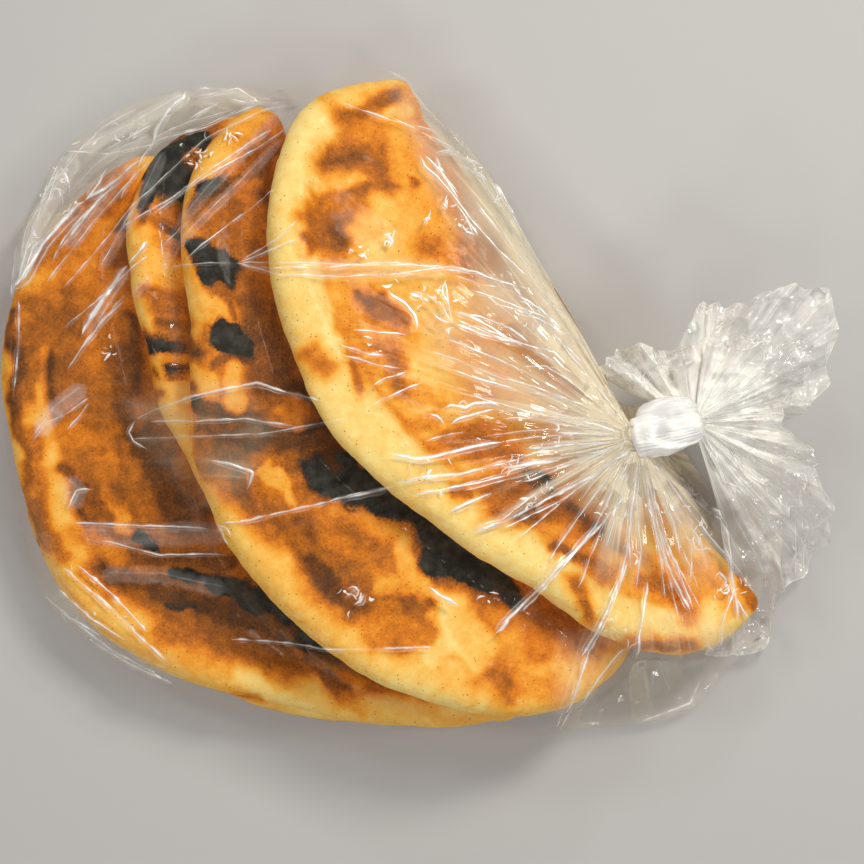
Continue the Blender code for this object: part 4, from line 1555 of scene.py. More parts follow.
@dataclass(frozen=True)
class Crease:
    """A sharp fold of the film that stands up a little, with painted highlights of white milk along its
    edges beside its real gloss.
    """

    path: tuple[Place, ...]  # mm, from above
    width: float  # mm
    lift: float  # mm
    haze: float
    fill: float = 0.08  # how milky it is beside its edges of painted highlight
    spacing: float = 1.1  # mm, of its points along it

    def strip(self, surface: BVHTree, seed: int) -> tuple[Array, Array, Array]:
        """Lays the crease on the film.

        Args:
            surface: The film that it lies on.
            seed: Which noise makes it waver.

        Returns:
            Rows of points across it, and the haze and the sheen of each.
        """
        corners = np.array(self.path, float)
        steps = np.maximum(np.linalg.norm(np.diff(corners, axis=0), axis=1), 0.3)
        keys = np.concatenate([[0], np.cumsum(steps)])
        at = np.linspace(0, keys[-1], max(int(keys[-1] / self.spacing), 6))
        line = np.stack([np.interp(at, keys, corners[:, i]) for i in (0, 1)], axis=1)
        off = [height_over(surface, x * MM, y * MM) is None for x, y in line]
        kept = off.index(True) if True in off else len(off)
        columns = 9 if self.width < 0.6 else 11 if self.width < 2 else 21
        across = np.linspace(-1, 1, columns)
        if kept < 5:
            return np.zeros((0, 9, 3)), np.zeros((0, 9)), np.zeros((0, 9))  # no film to lie on
        at, line = at[:kept], line[:kept]
        line += 0.15 * np.stack(
            [unevenness(np.stack([at, at * 0, at * 0 + k], axis=1), 5.0, seed) for k in (0.3, 9.7)], axis=1
        )
        ahead = np.gradient(line, axis=0)
        ahead /= np.maximum(np.linalg.norm(ahead, axis=1, keepdims=True), 1e-9)
        square = np.stack([-ahead[:, 1], ahead[:, 0]], axis=1)
        ends = np.minimum(at, at[-1] - at)
        along = np.stack([at, at * 0 + 3.1, at * 0 + 5.7], axis=1)
        tip = min(4.0, at[-1] / 3)
        waver = min(0.65, 0.6 / self.width)
        taper = np.clip((ends + 0.1) / tip, 0, 1) ** 0.8 * (1 + waver * unevenness(along, 3.1, seed + 2))
        plan = line[:, None] + square[:, None] * (across[:, None] * self.width * taper[:, None, None])
        ridge = np.where(across < 0.3, (1 + across) / 1.3, (1 - across) / 0.7) ** 1.3
        points = np.zeros((*plan.shape[:2], 3))
        points[..., :2] = plan * MM
        height = 0.02
        for row in points:
            for point in row:
                found = height_over(surface, point[0], point[1])
                # Beside the film a point stays as high as the one before it
                height = height if found is None else found
                point[2] = height
        points[..., 2] += (self.lift * ridge * taper[:, None] - 0.10 * np.abs(across) ** 8) * MM
        # Painted highlight: the bright edge lines are white milk in the haze, in dashes, standing in for
        # the lamps' reflections; the same lines also set the real gloss
        bright = np.clip(0.75 + 0.9 * unevenness(along, 4.0, seed + 1), 0.15, 1) * taper
        core = 0.06 if self.fill > 0.3 else 0.2
        edge = 1.5 * np.exp(-(((across - 0.25) / core) ** 2))
        edge = (edge + 0.25 * np.exp(-(((across + 0.6) / 0.10) ** 2))) * bright[:, None]
        band = (1 - across**4) * np.clip(taper, 0, 1)[:, None]
        return points, self.haze * np.clip(self.fill * band + edge, 0, 1), self.haze * np.clip(edge, 0, 1)


@dataclass(frozen=True)
class CreaseSet:
    """The creases of one part of the bag, made as one piece."""

    name: str
    seed: int
    creases: tuple[Crease, ...]

    def dress(self, film: bpy.types.Material, surface: BVHTree) -> bpy.types.Object:
        """Makes the creases' piece.

        Args:
            film: Its material.
            surface: The film that they lie on.

        Returns:
            The piece, of one narrow strip for each crease.
        """
        points, hazes, sheens, patterns, faces, first = [], [], [], [], [], 0
        for k, crease in enumerate(self.creases):
            strip, haze, sheen = crease.strip(surface, self.seed + 3 * k)
            rows, columns = haze.shape
            faces.extend(tuple(first + corner for corner in face) for face in sheet_faces(rows, columns))
            first += rows * columns
            points.append(strip.reshape(-1, 3))
            hazes.append(haze.ravel())
            sheens.append(sheen.ravel())
            row, column = np.meshgrid(np.arange(rows) * 0.25, np.arange(columns) * 0.1, indexing="ij")
            patterns.append(np.stack([row, column + 7.0 * k, row * 0], axis=-1).reshape(-1, 3))
        haze = np.concatenate(hazes)
        values = {
            "haze": haze,
            "crinkle": haze * 0,
            "sheen": np.concatenate(sheens),
            "pull": np.concatenate(patterns),
        }
        return place_film(new_piece(self.name, np.concatenate(points), faces, values), film)


def folds(*rows: tuple, fill: float = 0.08) -> tuple[Crease, ...]:
    """Makes creases from rows of whole numbers.

    Args:
        *rows: Width in tenths of a mm, haze in per cent, which sets how white its milk and painted
               highlights are, and then the path's places of each.
        fill: How milky they are beside their edges of painted highlight.

    Returns:
        The creases, in the same order.
    """
    return tuple(
        Crease(tuple(zip(row[2::2], row[3::2])), row[0] / 10, FOLD_LIFT, row[1] / 100, fill) for row in rows
    )


def glints(seed: int, *spots: tuple) -> tuple[Crease, ...]:
    """Painted glints: short folds in clusters, filled with white milk that stands in for the reflections
    where crumpled film glitters.

    Args:
        seed: Which random spread.
        *spots: Place and radius of each cluster in mm, and how many glints it has.

    Returns:
        The glints.
    """
    chance = np.random.default_rng(seed)
    made = []
    for x, y, radius, count in spots:
        for _ in range(count):
            turn, lean = chance.uniform(0, 2 * math.pi, 2)
            away, run = chance.normal(0, 0.7 * radius), chance.uniform(0.7, 2.6)
            bend = chance.normal(0, 0.9)
            place = np.array((x + away * math.cos(turn), y + away * math.sin(turn)))
            path = [place]
            for way in (lean, lean + bend):
                path.append(path[-1] + run * np.array((math.cos(way), math.sin(way))))
            width, haze = chance.uniform(0.14, 0.5), chance.uniform(0.7, 0.98)
            made.append(Crease(tuple(map(tuple, path)), width, 0.2, haze, fill=1.2))
    return tuple(made)


def fan(
    centre: Place, turns: Pair, near: Pair, far: Pair, count: int, haze: Pair, seed: int
) -> tuple[Crease, ...]:
    """Fine creases that run from a gathered place like the ribs of a fan.

    Args:
        centre: Where they meet, in mm.
        turns: First and last direction, in degrees.
        near: Least and greatest distance of their inner ends, in mm.
        far: Least and greatest distance of their outer ends, in mm.
        count: How many of them.
        haze: Least and greatest haze.
        seed: Which random spread.

    Returns:
        The creases.
    """
    chance = np.random.default_rng(seed)
    made = []
    for _ in range(count):
        turn = math.radians(chance.uniform(*turns))
        start, end = chance.uniform(*near), chance.uniform(*far)
        bend = chance.normal(0, 0.035)
        path = tuple(
            (centre[0] + run * math.cos(turn + bend * k), centre[1] + run * math.sin(turn + bend * k))
            for k, run in enumerate(np.linspace(start, end, 4))
        )
        width, lift = chance.uniform(0.7, 1.3), chance.uniform(0.25, 0.5)
        made.append(Crease(path, width, lift, chance.uniform(*haze)))
    return tuple(made)


BUNDLES = (
    Bundle(118, 7, 170, 0.80), Bundle(129, 6, 110, 0.62), Bundle(140, 4, 62, 0.50),
    Bundle(154, 7, 85, 0.62), Bundle(166, 6, 74, 0.66), Bundle(177, 4, 36, 0.50),
    Bundle(188, 6, 46, 0.58), Bundle(198, 4, 60, 0.52), Bundle(211, 3, 84, 0.60),
    Bundle(218, 2, 30, 0.50), Bundle(245, 5, 34, 0.60), Bundle(258, 7, 62, 0.72),
    Bundle(270, 6, 58, 0.66), Bundle(283, 6, 32, 0.60), Bundle(298, 8, 74, 0.50),
    Bundle(311, 7, 66, 0.62),
)
VEILS = (
    # The slack side between the highest bread and the knot, and its outer strip
    Veil(((-14, 132), (-2, 128), (14, 108), (30, 84), (44, 62), (58, 34), (70, 8), (72, -8), (58, 4),
          (44, 24), (27, 40), (17, 58), (9, 76), (1, 96)), 0.25, 8.0),
    Veil(((8, 114), (24, 102), (44, 70), (62, 34), (78, 2), (70, 0), (52, 34), (34, 68), (16, 96)), 0.20),
    # The fan of layers left of the knot
    Veil(((11, 54), (39, 42), (59, 22), (74, -1), (55, -6), (31, 2), (7, 16), (2, 38)), 0.16, 16.0),
    # The empty corner at the far end, and the highest bread's upper end
    Veil(((-170, 45), (-153, 69), (-137, 86), (-112, 108), (-66, 126), (-56, 132), (-79, 138), (-120, 132),
          (-152, 110), (-168, 77)), 0.24),
    # The band of slack film over the step between the two lower breads
    Veil(((-118, 2), (-98, 8), (-72, 8), (-60, -10), (-70, -34), (-88, -38), (-112, -14)), 0.14, 12.0),
    # The slack corner below the knot
    Veil(((56, -92), (84, -84), (112, -82), (126, -92), (116, -114), (78, -130), (52, -122)), 0.24, 10.0),
    # The bag's near edge, left of the breads
    Veil(((-166, -30), (-158, -34), (-146, -72), (-128, -92), (-96, -108), (-104, -114), (-146, -92),
          (-164, -60)), 0.1),
)
FRILL = (
    FrillLayer(
        name="frill_under",
        seed=41,
        turns=(-71, -66, -58, -50, -39, -27, -20, -9, 8, 17, 28, 43, 54, 69, 86, 96, 129, 152),
        reach=(
            90, 97, 94, 79, 77, 69, 61, 41, 44,
            55, 60, 74, 65, 48, 44, 31, 37, 40,
        ),
        edge=(
            26, 16, 9, 12, 16, 20, 24, 30, 32,
            36, 40, 48, 50, 50, 50, 48, 42, 38,
        ),
    ),
    FrillLayer(
        name="frill_over",
        seed=51,
        turns=(-60, -45, -30, -15, 0, 15, 30, 45, 60, 80),
        reach=(60, 52, 54, 50, 34, 40, 52, 48, 36, 30),
        edge=(30, 32, 36, 40, 44, 50, 56, 58, 56, 54),
        pleats=7.0,
        wave=0.008,
        crumple=0.003,
        crumple_size=0.014,
        curl=0.0,
        haze=0.30,
        spokes=260,
        rings=60,
    ),
)
# Folds over the highest bread and the film drawn from it to the knot
UPPER_FOLDS = folds(
    (11, 55, -15, 138, 3, 129, 24, 108, 41, 82, 58, 50, 71, 19, 82, 2), (16, 95, -14, 69, -12, 66, -11, 63),
    (15, 90, -29, 62, -27, 61), (15, 90, -22, 62, -21, 61), (14, 90, 1, 76, 2, 74), (14, 90, 8, 82, 10, 80),
    (18, 95, 5, 103, 10, 104, 15, 104, 20, 98), (14, 85, 20, 98, 24, 97, 26, 92, 29, 85),
    (12, 75, 5, 102, 7, 97, 10, 94), (12, 60, 27, 94, 32, 83, 40, 69, 47, 60),
    (13, 80, 15, 73, 18, 70, 22, 69), (12, 75, 16, 79, 19, 73, 21, 69),
    (12, 60, -1, 102, 1, 97, 6, 93, 12, 86, 21, 74, 31, 63, 43, 52, 56, 36),
    (13, 55, -14, 57, -5, 56, 6, 56, 23, 54), (11, 45, -13, 52, -1, 54, 12, 56, 22, 54, 33, 50, 44, 47),
    (10, 40, 12, 53, 23, 49, 35, 47, 43, 42), (16, 90, -14, 47, -12, 44, -7, 41, -3, 36, -2, 32, -2, 30),
    (12, 60, -27, 30, -16, 29, -5, 28), (14, 80, -32, 24, -26, 22, -20, 20, -14, 20),
    (12, 70, -31, 20, -24, 18, -17, 16, -12, 15, -8, 15), (14, 80, -19, 8, -14, 11, -9, 12, -5, 14),
    (13, 75, -20, 0, -14, 3, -8, 6, -3, 8, 1, 10), (19, 98, 8, -1, 12, 0, 17, -1, 21, 1, 27, 1, 32, 0),
    (15, 85, 11, -7, 15, -5, 19, -4, 25, -2, 29, -1), (13, 80, 2, -3, 6, -4, 8, -6, 9, -8),
    (12, 65, 1, -14, 7, -12, 17, -10),
    (20, 98, -13, -19, -7, -20, -1, -21, 4, -20, 9, -19, 21, -16, 32, -14),
    (14, 80, 10, -42, 18, -38, 28, -34), (13, 70, 10, 51, 8, 48, 8, 45, 10, 42, 11, 38),
    (12, 55, -5, 46, 0, 45, 4, 43, 8, 40, 10, 36, 12, 33), (26, 98, -5, 45, -3, 44, 0, 43),
    (20, 98, 0, 43, 3, 41), (17, 95, 12, 38, 19, 36, 27, 32, 34, 27, 40, 24),
    (12, 75, 13, 35, 20, 32, 29, 28, 39, 25), (14, 80, 14, 31, 22, 32, 30, 29, 39, 25),
    (11, 55, 40, 24, 49, 20, 59, 14, 70, 6), (12, 70, 9, 27, 19, 23, 31, 18, 40, 14),
    (12, 80, 40, 16, 49, 16, 57, 11, 66, 4), (12, 65, 10, 15, 19, 12, 29, 9, 39, 6),
    (11, 50, 39, 6, 51, 4, 67, 0), (11, 50, 3, 22, 15, 18, 29, 12, 43, 8, 57, 3, 71, -3),
    (15, 80, 37, 45, 43, 42, 50, 37, 56, 31), (13, 70, 56, 25, 60, 22, 64, 17),
    (15, 85, 52, -7, 54, -8, 53, -10), (12, 60, 47, -5, 55, -6, 67, -8),
    (10, 40, 31, -5, 47, -4, 63, -5, 77, -7), (10, 40, 23, -12, 39, -10, 55, -9, 75, -9),
    (10, 45, 32, -14, 47, -12, 63, -11, 77, -11), (12, 60, 11, -28, 23, -25, 35, -22, 49, -17, 67, -13),
    (10, 45, 7, -33, 27, -28, 47, -22, 71, -16), (16, 95, 13, 99, 23, 96, 31, 94),
    (16, 95, 31, 101, 35, 92, 40, 83), (12, 80, 26, 92, 35, 77, 44, 60, 51, 45),
    (14, 90, 49, 71, 58, 56, 64, 43), (11, 70, 41, 76, 51, 55, 62, 34, 72, 14),
    (12, 80, 68, 38, 75, 24, 84, 6), (10, 60, 7, 124, 14, 116, 24, 106), (10, 60, -7, 132, 1, 123, 10, 116),
    (9, 60, -12, 117, 7, 108, 30, 99), (10, 60, -33, 122, -13, 116, 7, 112),
    (10, 55, -22, 57, -9, 57, 7, 55, 23, 54), (10, 60, 7, 55, 23, 53, 39, 48),
    (10, 60, 19, 47, 31, 43, 51, 35), (12, 80, 31, 41, 43, 37, 56, 30, 69, 24),
    (10, 70, 48, 45, 56, 40, 70, 28), (16, 95, 6, 102, 13, 104, 20, 102, 23, 98),
    (14, 90, 16, 99, 24, 97, 28, 93), (14, 90, 6, 102, 7, 96, 12, 88, 15, 84),
    (15, 95, 28, 94, 31, 89, 29, 83), (13, 85, 29, 95, 42, 74, 55, 52, 64, 36),
    (12, 80, 34, 86, 48, 60, 60, 36, 72, 11), (11, 70, 21, 84, 40, 60, 56, 36),
    (13, 85, 13, 83, 19, 74, 23, 68), (12, 70, 1, 102, 7, 96, 15, 86), (13, 85, 9, 51, 10, 43, 12, 33),
    (12, 80, 12, 33, 7, 35, 3, 39), (13, 85, 14, 37, 23, 36, 35, 31, 43, 25),
    (16, 90, 13, 33, 23, 29, 31, 27, 43, 24, 56, 21), (12, 80, 39, 43, 48, 39, 54, 33),
)
# Long folds and glints over the lower two breads
MIDDLE_FOLDS = folds(
    (12, 60, -79, -46, -68, -45, -56, -42, -42, -39, -28, -35, -9, -31),
    (18, 70, -10, -30, 3, -28, 19, -26, 35, -21), (14, 60, -4, -35, 7, -33, 23, -30, 35, -27),
    (16, 70, -36, -37, -24, -35, -12, -32), (10, 60, -74, 57, -67, 57, -58, 56),
    (10, 45, -58, 56, -40, 56, -24, 56, -14, 57), (10, 35, -113, 55, -96, 56, -74, 57),
    (14, 60, -122, 71, -109, 79, -93, 88, -84, 95, -75, 102, -67, 108, -60, 112),
    (12, 60, -122, 84, -115, 97, -110, 112, -96, 118, -77, 122, -57, 128),
    (16, 70, -120, 111, -119, 115, -116, 118), (18, 80, -106, 123, -103, 126, -99, 128),
    (13, 60, -116, -5, -109, -2, -96, 2, -85, 5, -75, 7, -65, 9, -52, 5, -39, 2),
    (12, 50, -110, -6, -87, -6, -70, -5, -49, -8), (10, 35, -118, -13, -91, -12, -64, -11, -28, -5),
    (15, 70, -84, -21, -76, -23, -67, -26, -68, -30, -69, -33),
    (12, 70, -81, -47, -79, -49, -78, -53, -76, -55), (12, 70, -81, -47, -77, -48, -75, -51),
    (16, 85, -30, -72, -27, -71, -25, -73, -27, -76), (15, 85, -27, -78, -24, -77, -22, -73),
    (14, 80, -31, -76, -28, -74, -24, -70), (20, 90, 2, -71, 7, -75, 15, -79),
    (11, 50, -74, 57, -59, 54, -40, 54, -17, 57), (10, 50, -74, 57, -55, 51, -32, 51, -1, 53),
    (9, 50, -74, 57, -59, 61, -48, 66), (9, 50, -72, 58, -57, 65, -48, 74),
    (11, 45, -153, 50, -133, 75, -110, 100), (10, 45, -146, 48, -117, 80, -88, 108, -55, 126),
    (10, 45, -109, 77, -78, 97, -53, 112), (10, 50, -94, 58, -76, 73, -58, 86),
    (13, 60, -131, 56, -122, 70, -114, 82), (10, 45, -147, 31, -122, 51, -92, 74),
    (12, 60, -78, -94, -36, -96, 7, -95),
) + folds(
    (45, 16, -145, 64, -127, 89, -113, 115), (32, 14, -131, 55, -114, 81, -104, 104),
    (32, 12, -109, 56, -86, 86, -56, 121), (26, 14, -117, 43, -103, 58, -82, 80, -55, 108),
    (45, 34, -157, -12, -148, 0, -136, 9), (50, 24, -146, -28, -140, -34, -144, -42),
    (45, 16, -51, 54, -21, 55, 11, 55), (55, 16, -139, -51, -110, -52, -77, -50),
    (40, 12, -131, -68, -106, -68, -78, -74), (45, 34, -163, 52, -155, 85, -144, 107),
    (35, 34, -143, 107, -113, 122, -98, 131), (35, 30, -150, 84, -134, 101, -113, 113),
    (30, 30, -95, 128, -80, 130, -67, 126),
    fill=0.55,
)
# Folds of the slack film at the far corners and edges
CORNER_FOLDS = folds(
    (18, 70, -147, 64, -142, 70, -135, 79, -127, 88), (13, 60, -150, 59, -145, 69, -134, 81, -123, 92),
    (14, 60, -139, 23, -131, 33, -124, 41, -117, 47), (16, 60, -144, 15, -137, 25, -128, 36, -120, 43),
    (12, 55, -163, 76, -156, 91, -145, 104, -133, 117, -118, 125), (14, 60, -162, 52, -158, 65, -148, 75),
    (16, 70, -152, 113, -143, 117, -130, 120), (12, 55, -136, 100, -127, 107, -117, 111),
    (13, 60, -131, 129, -123, 132, -110, 133, -97, 133), (13, 60, -97, 133, -84, 133, -72, 129, -61, 128),
    (12, 50, -164, 44, -164, 27, -166, 7), (18, 70, -159, -13, -157, -11, -153, -5),
    (12, 60, -145, -10, -140, -5, -135, 2), (12, 60, -155, -77, -143, -86, -131, -93),
    (14, 70, -136, -95, -119, -105, -101, -113), (12, 60, -148, -83, -127, -99, -107, -109),
    (34, 98, -167, 48, -161, 53, -154, 66, -145, 76, -137, 84),
    (24, 90, -137, 84, -129, 88, -122, 93, -114, 101),
    (28, 95, -111, 104, -110, 115, -106, 123, -99, 129, -98, 135),
    (14, 85, -154, 108, -134, 113, -113, 121, -98, 133), (36, 98, -138, 29, -129, 43, -118, 57),
    (16, 95, -118, 57, -113, 62, -108, 68), (13, 80, -149, 107, -130, 105, -112, 108, -88, 114, -66, 124),
    (14, 85, -97, 119, -91, 123, -85, 127), (12, 75, -82, 129, -73, 127, -65, 124),
    (12, 75, -163, 60, -162, 73, -158, 87, -151, 103), (12, 70, -159, 65, -158, 85, -156, 96),
    (12, 80, -156, 102, -151, 108, -147, 113), (13, 75, -167, 44, -166, 61, -167, 78, -163, 92),
    (14, 80, -146, -65, -131, -78, -115, -93, -103, -104), (12, 80, -140, -64, -126, -76, -111, -92),
    (12, 70, -150, -72, -135, -86, -120, -95), (12, 70, -148, -83, -140, -99, -111, -110, -96, -115),
    (18, 95, -129, 99, -132, 91, -137, 84), (13, 85, -153, 108, -134, 115, -114, 125, -98, 134),
    (12, 80, -146, 115, -122, 121, -99, 132), (12, 75, -164, 50, -158, 78, -151, 101),
    (12, 80, -113, 109, -91, 114, -66, 125), (14, 85, -94, 130, -86, 131, -77, 133, -66, 125),
    (13, 90, -95, 118, -90, 123, -83, 128), (10, 70, -134, 106, -117, 115, -103, 123),
    (10, 80, -159, -15, -153, -7, -143, -2, -135, 4), (12, 75, -144, -42, -140, -34, -133, -33),
    (11, 60, -143, -47, -119, -48, -85, -49), (11, 50, -131, -54, -106, -60, -76, -59),
    (10, 60, -116, -5, -119, -10, -117, -14, -111, -17), (16, 95, -151, 101, -148, 94, -146, 88),
    (14, 95, -154, 95, -151, 89, -147, 81), (13, 90, -159, 105, -154, 108, -151, 113),
)
# Pleats that run down from the knot
PLEAT_FOLDS = folds(
    (16, 75, 83, -16, 67, -27, 46, -38, 32, -45, 19, -49), (22, 95, 31, -45, 24, -47, 19, -50),
    (14, 70, 84, -18, 77, -29, 68, -48, 60, -57, 52, -64),
    (18, 90, 68, -48, 60, -57, 52, -64, 41, -77, 31, -87), (26, 98, 35, -83, 32, -87, 29, -90),
    (16, 75, 85, -20, 84, -33, 82, -50), (18, 95, 82, -50, 81, -58, 79, -67, 72, -82, 64, -100),
    (16, 80, 90, -69, 88, -81, 86, -91, 86, -102), (15, 80, 88, -23, 90, -37, 94, -53, 100, -68, 108, -83),
    (12, 80, 90, -24, 93, -39, 97, -53, 104, -69, 109, -82),
    (13, 70, 91, -22, 105, -33, 120, -45, 124, -51, 125, -56, 126, -72, 128, -87),
    (12, 70, 108, -52, 108, -62, 107, -73), (13, 75, 123, -56, 125, -65, 126, -75, 121, -86, 120, -100),
    (15, 85, 127, -77, 130, -83, 134, -88), (11, 55, 86, -21, 85, -37, 87, -57, 85, -73),
    (11, 50, 87, -22, 92, -45, 95, -61, 97, -77), (11, 50, 92, -24, 102, -41, 112, -54, 115, -66),
    (12, 60, 99, -37, 108, -46, 112, -56), (16, 85, 98, -41, 102, -45, 105, -48),
    (16, 90, 115, -38, 118, -41, 122, -46), (13, 80, 105, -50, 107, -54, 112, -55),
    (13, 80, 108, -56, 112, -58, 118, -57), (15, 85, 118, -70, 120, -67, 123, -70, 121, -74),
    (12, 60, 82, -13, 71, -18, 55, -24, 39, -30), (11, 50, 82, -12, 67, -15, 51, -18),
    (12, 60, 57, -133, 68, -114, 80, -98, 87, -93), (14, 70, 95, -117, 96, -111, 98, -106),
    (16, 90, 55, -21, 45, -22, 31, -24), (12, 80, 81, -34, 72, -45, 57, -61, 39, -82),
    (13, 90, 82, -61, 75, -79, 67, -97, 55, -132), (12, 80, 83, -35, 82, -53, 83, -65),
    (10, 80, 90, -37, 99, -61, 109, -81), (10, 80, 93, -37, 100, -60, 112, -81),
    (10, 70, 71, -25, 55, -37, 31, -48),
)
# Folds of the slack corner below the knot
DRAPE_FOLDS = folds(
    (13, 60, 91, -131, 102, -127, 112, -123, 116, -113), (12, 60, 75, -134, 91, -128, 107, -123),
    (14, 70, 113, -95, 121, -102, 125, -101),
)
# Folds of the frill
FRILL_FOLDS = folds(
    (12, 80, 110, -7, 122, -9, 136, -15, 154, -21), (12, 85, 110, -8, 120, -12, 130, -18, 141, -25),
    (12, 80, 111, -9, 118, -16, 126, -24, 138, -32), (11, 80, 111, -10, 116, -20, 121, -27),
    (12, 80, 110, -4, 116, 1, 120, 7), (12, 80, 110, -4, 118, 2, 127, 10),
    (11, 70, 110, -5, 123, 1, 132, 4, 138, 4), (10, 70, 110, -6, 128, -7, 140, -9, 154, -13),
    (13, 70, 109, 24, 119, 32, 128, 39, 139, 45, 145, 48), (12, 70, 115, 27, 126, 35, 139, 42),
    (11, 60, 145, 48, 155, 48, 172, 47, 180, 44), (15, 80, 123, 30, 127, 27, 132, 26),
    (12, 80, 124, 22, 129, 22, 134, 25, 141, 27), (14, 80, 127, 18, 133, 16, 139, 20),
    (12, 70, 153, -25, 156, -38, 158, -55, 159, -72, 159, -83),
    (10, 60, 157, -24, 159, -42, 161, -55, 161, -72), (10, 60, 152, -28, 154, -46, 155, -63, 154, -81),
    (16, 80, 163, -45, 166, -44, 172, -41), (15, 80, 170, -30, 172, -29, 173, -33),
    (15, 70, 159, -85, 157, -81, 153, -79), (20, 70, 128, -102, 136, -97, 143, -95),
    (12, 70, 120, -30, 126, -32, 130, -34), (13, 70, 138, -31, 139, -34, 137, -38),
    (12, 70, 149, 5, 153, 2, 156, 5), (12, 60, 160, 27, 162, 17, 160, 7), (14, 90, 77, 13, 81, 17, 85, 22),
    (13, 90, 81, 9, 84, 14, 88, 20, 90, 25), (18, 95, 79, 11, 83, 9, 85, 11, 88, 8),
    (12, 90, 83, 22, 85, 18, 87, 13), (12, 90, 85, 24, 88, 20, 90, 16),
    (13, 85, 91, 13, 96, 21, 106, 29, 107, 29), (14, 90, 90, 25, 100, 29, 103, 26),
    (16, 95, 77, 4, 79, 9, 83, 12), (14, 95, 85, 6, 84, 11, 89, 14), (16, 95, 87, 8, 90, 14, 92, 18),
    (12, 85, 90, 14, 99, 20, 109, 25), (12, 85, 74, 14, 83, 22, 96, 29), (14, 90, 110, -4, 121, 4, 131, 9),
    (14, 95, 111, -7, 126, -10, 138, -17), (14, 95, 111, -8, 122, -16, 130, -28),
    (12, 90, 111, -10, 118, -21, 125, -34), (12, 90, 110, -2, 117, 9, 121, 16),
    (12, 85, 111, -5, 128, -3, 154, -3), (14, 90, 129, -14, 136, -15, 141, -25),
    (13, 85, 131, -25, 138, -32, 143, -30),
)
# Each set's strips carry painted highlights along their edges, beside the folds' real lift and gloss
CREASE_SETS = (
    CreaseSet("creases_upper", 101, UPPER_FOLDS),
    CreaseSet("creases_middle", 301, MIDDLE_FOLDS),
    CreaseSet("creases_corner", 401, CORNER_FOLDS),
    CreaseSet("creases_pleats", 501, PLEAT_FOLDS),
    CreaseSet("creases_drape", 601, DRAPE_FOLDS),
    CreaseSet("creases_frill", 701, FRILL_FOLDS),
)
# Clusters of painted glints: place and radius of each in mm, and its number of glints
GLINTS = {
    "upper": (
        (-12, 66, 3.6, 8), (-24, 62, 3.2, 6), (10, 81, 2.4, 5), (16, 74, 3.2, 5), (2, 75, 1.6, 4),
        (16, 104, 3.2, 5), (7, 45, 4.8, 9), (1, 43, 3.2, 5), (25, 99, 4.0, 6), (34, 87, 3.6, 5),
        (-11, 51, 4.0, 3), (1, -22, 8.8, 9), (34, -24, 8.8, 10), (12, 31, 4.0, 4), (45, 35, 4.8, 6),
        (19, 1, 5.6, 5), (-20, 22, 4.8, 5), (43, -37, 5.6, 9), (50, -32, 4.0, 5), (54, -13, 1.6, 4),
    ),
    "middle": (
        (-151, 96, 5.2, 14), (-143, 81, 4.0, 8), (-158, 91, 2.8, 5), (-143, 110, 4.8, 5),
        (-128, 112, 4.8, 6), (-119, 114, 2.8, 6), (-90, 99, 4.4, 9), (-77, 109, 3.6, 9),
        (-158, 69, 3.2, 5), (-126, 23, 4.8, 7), (-27, -74, 4.8, 9), (25, -75, 1.6, 3), (75, -89, 5.6, 9),
        (87, -61, 2.4, 4), (-135, -91, 10.4, 6), (-111, -108, 8.0, 5), (-85, 103, 8.0, 5),
        (112, -52, 4.8, 10), (114, -46, 3.2, 5), (121, -75, 4.0, 8), (131, -74, 3.2, 6),
        (110, -35, 5.6, 5), (74, -45, 4.0, 4),
    ),
    "frill": (
        (81, 9, 6.4, 16), (92, 15, 5.6, 12), (100, 22, 4.8, 7), (132, -17, 5.6, 8), (128, 4, 5.6, 6),
        (157, -29, 5.6, 8), (166, -46, 4.0, 6), (161, -58, 4.0, 6), (158, -82, 3.6, 6),
        (136, -100, 6.4, 8), (137, 24, 8.8, 8), (125, 38, 5.6, 5), (112, 39, 3.2, 4), (149, 3, 4.8, 5),
        (139, 14, 8.0, 5), (131, -29, 4.8, 6),
    ),
}


@dataclass(frozen=True)
class Softbox:
    """A square studio light that looks at the bag from round about and above."""

    name: str
    azimuth: float  # degrees, from +X towards +Y
    zenith: float  # degrees, from straight above
    size: float = 0.155
    power: float = 1.25
    tint: str = "#FFFFFF"
    distance: float = 1.15

    def light(self, aim: Vector) -> bpy.types.Object:
        """Makes the light.

        Args:
            aim: The place that it looks at.

        Returns:
            The lamp's object, linked to the scene.
        """
        lamp = bpy.data.lights.new(self.name, "AREA")
        lamp.shape = "SQUARE"
        lamp.size = self.size
        lamp.energy = self.power
        lamp.color = linear(self.tint)[:3]
        made = bpy.data.objects.new(self.name, lamp)
        bpy.context.scene.collection.objects.link(made)
        turn, lean = math.radians(self.azimuth), math.radians(self.zenith)
        way = Vector((math.cos(turn) * math.sin(lean), math.sin(turn) * math.sin(lean), math.cos(lean)))
        made.location = aim + way * self.distance
        made.rotation_euler = way.to_track_quat("Z", "Y").to_euler()
        return made


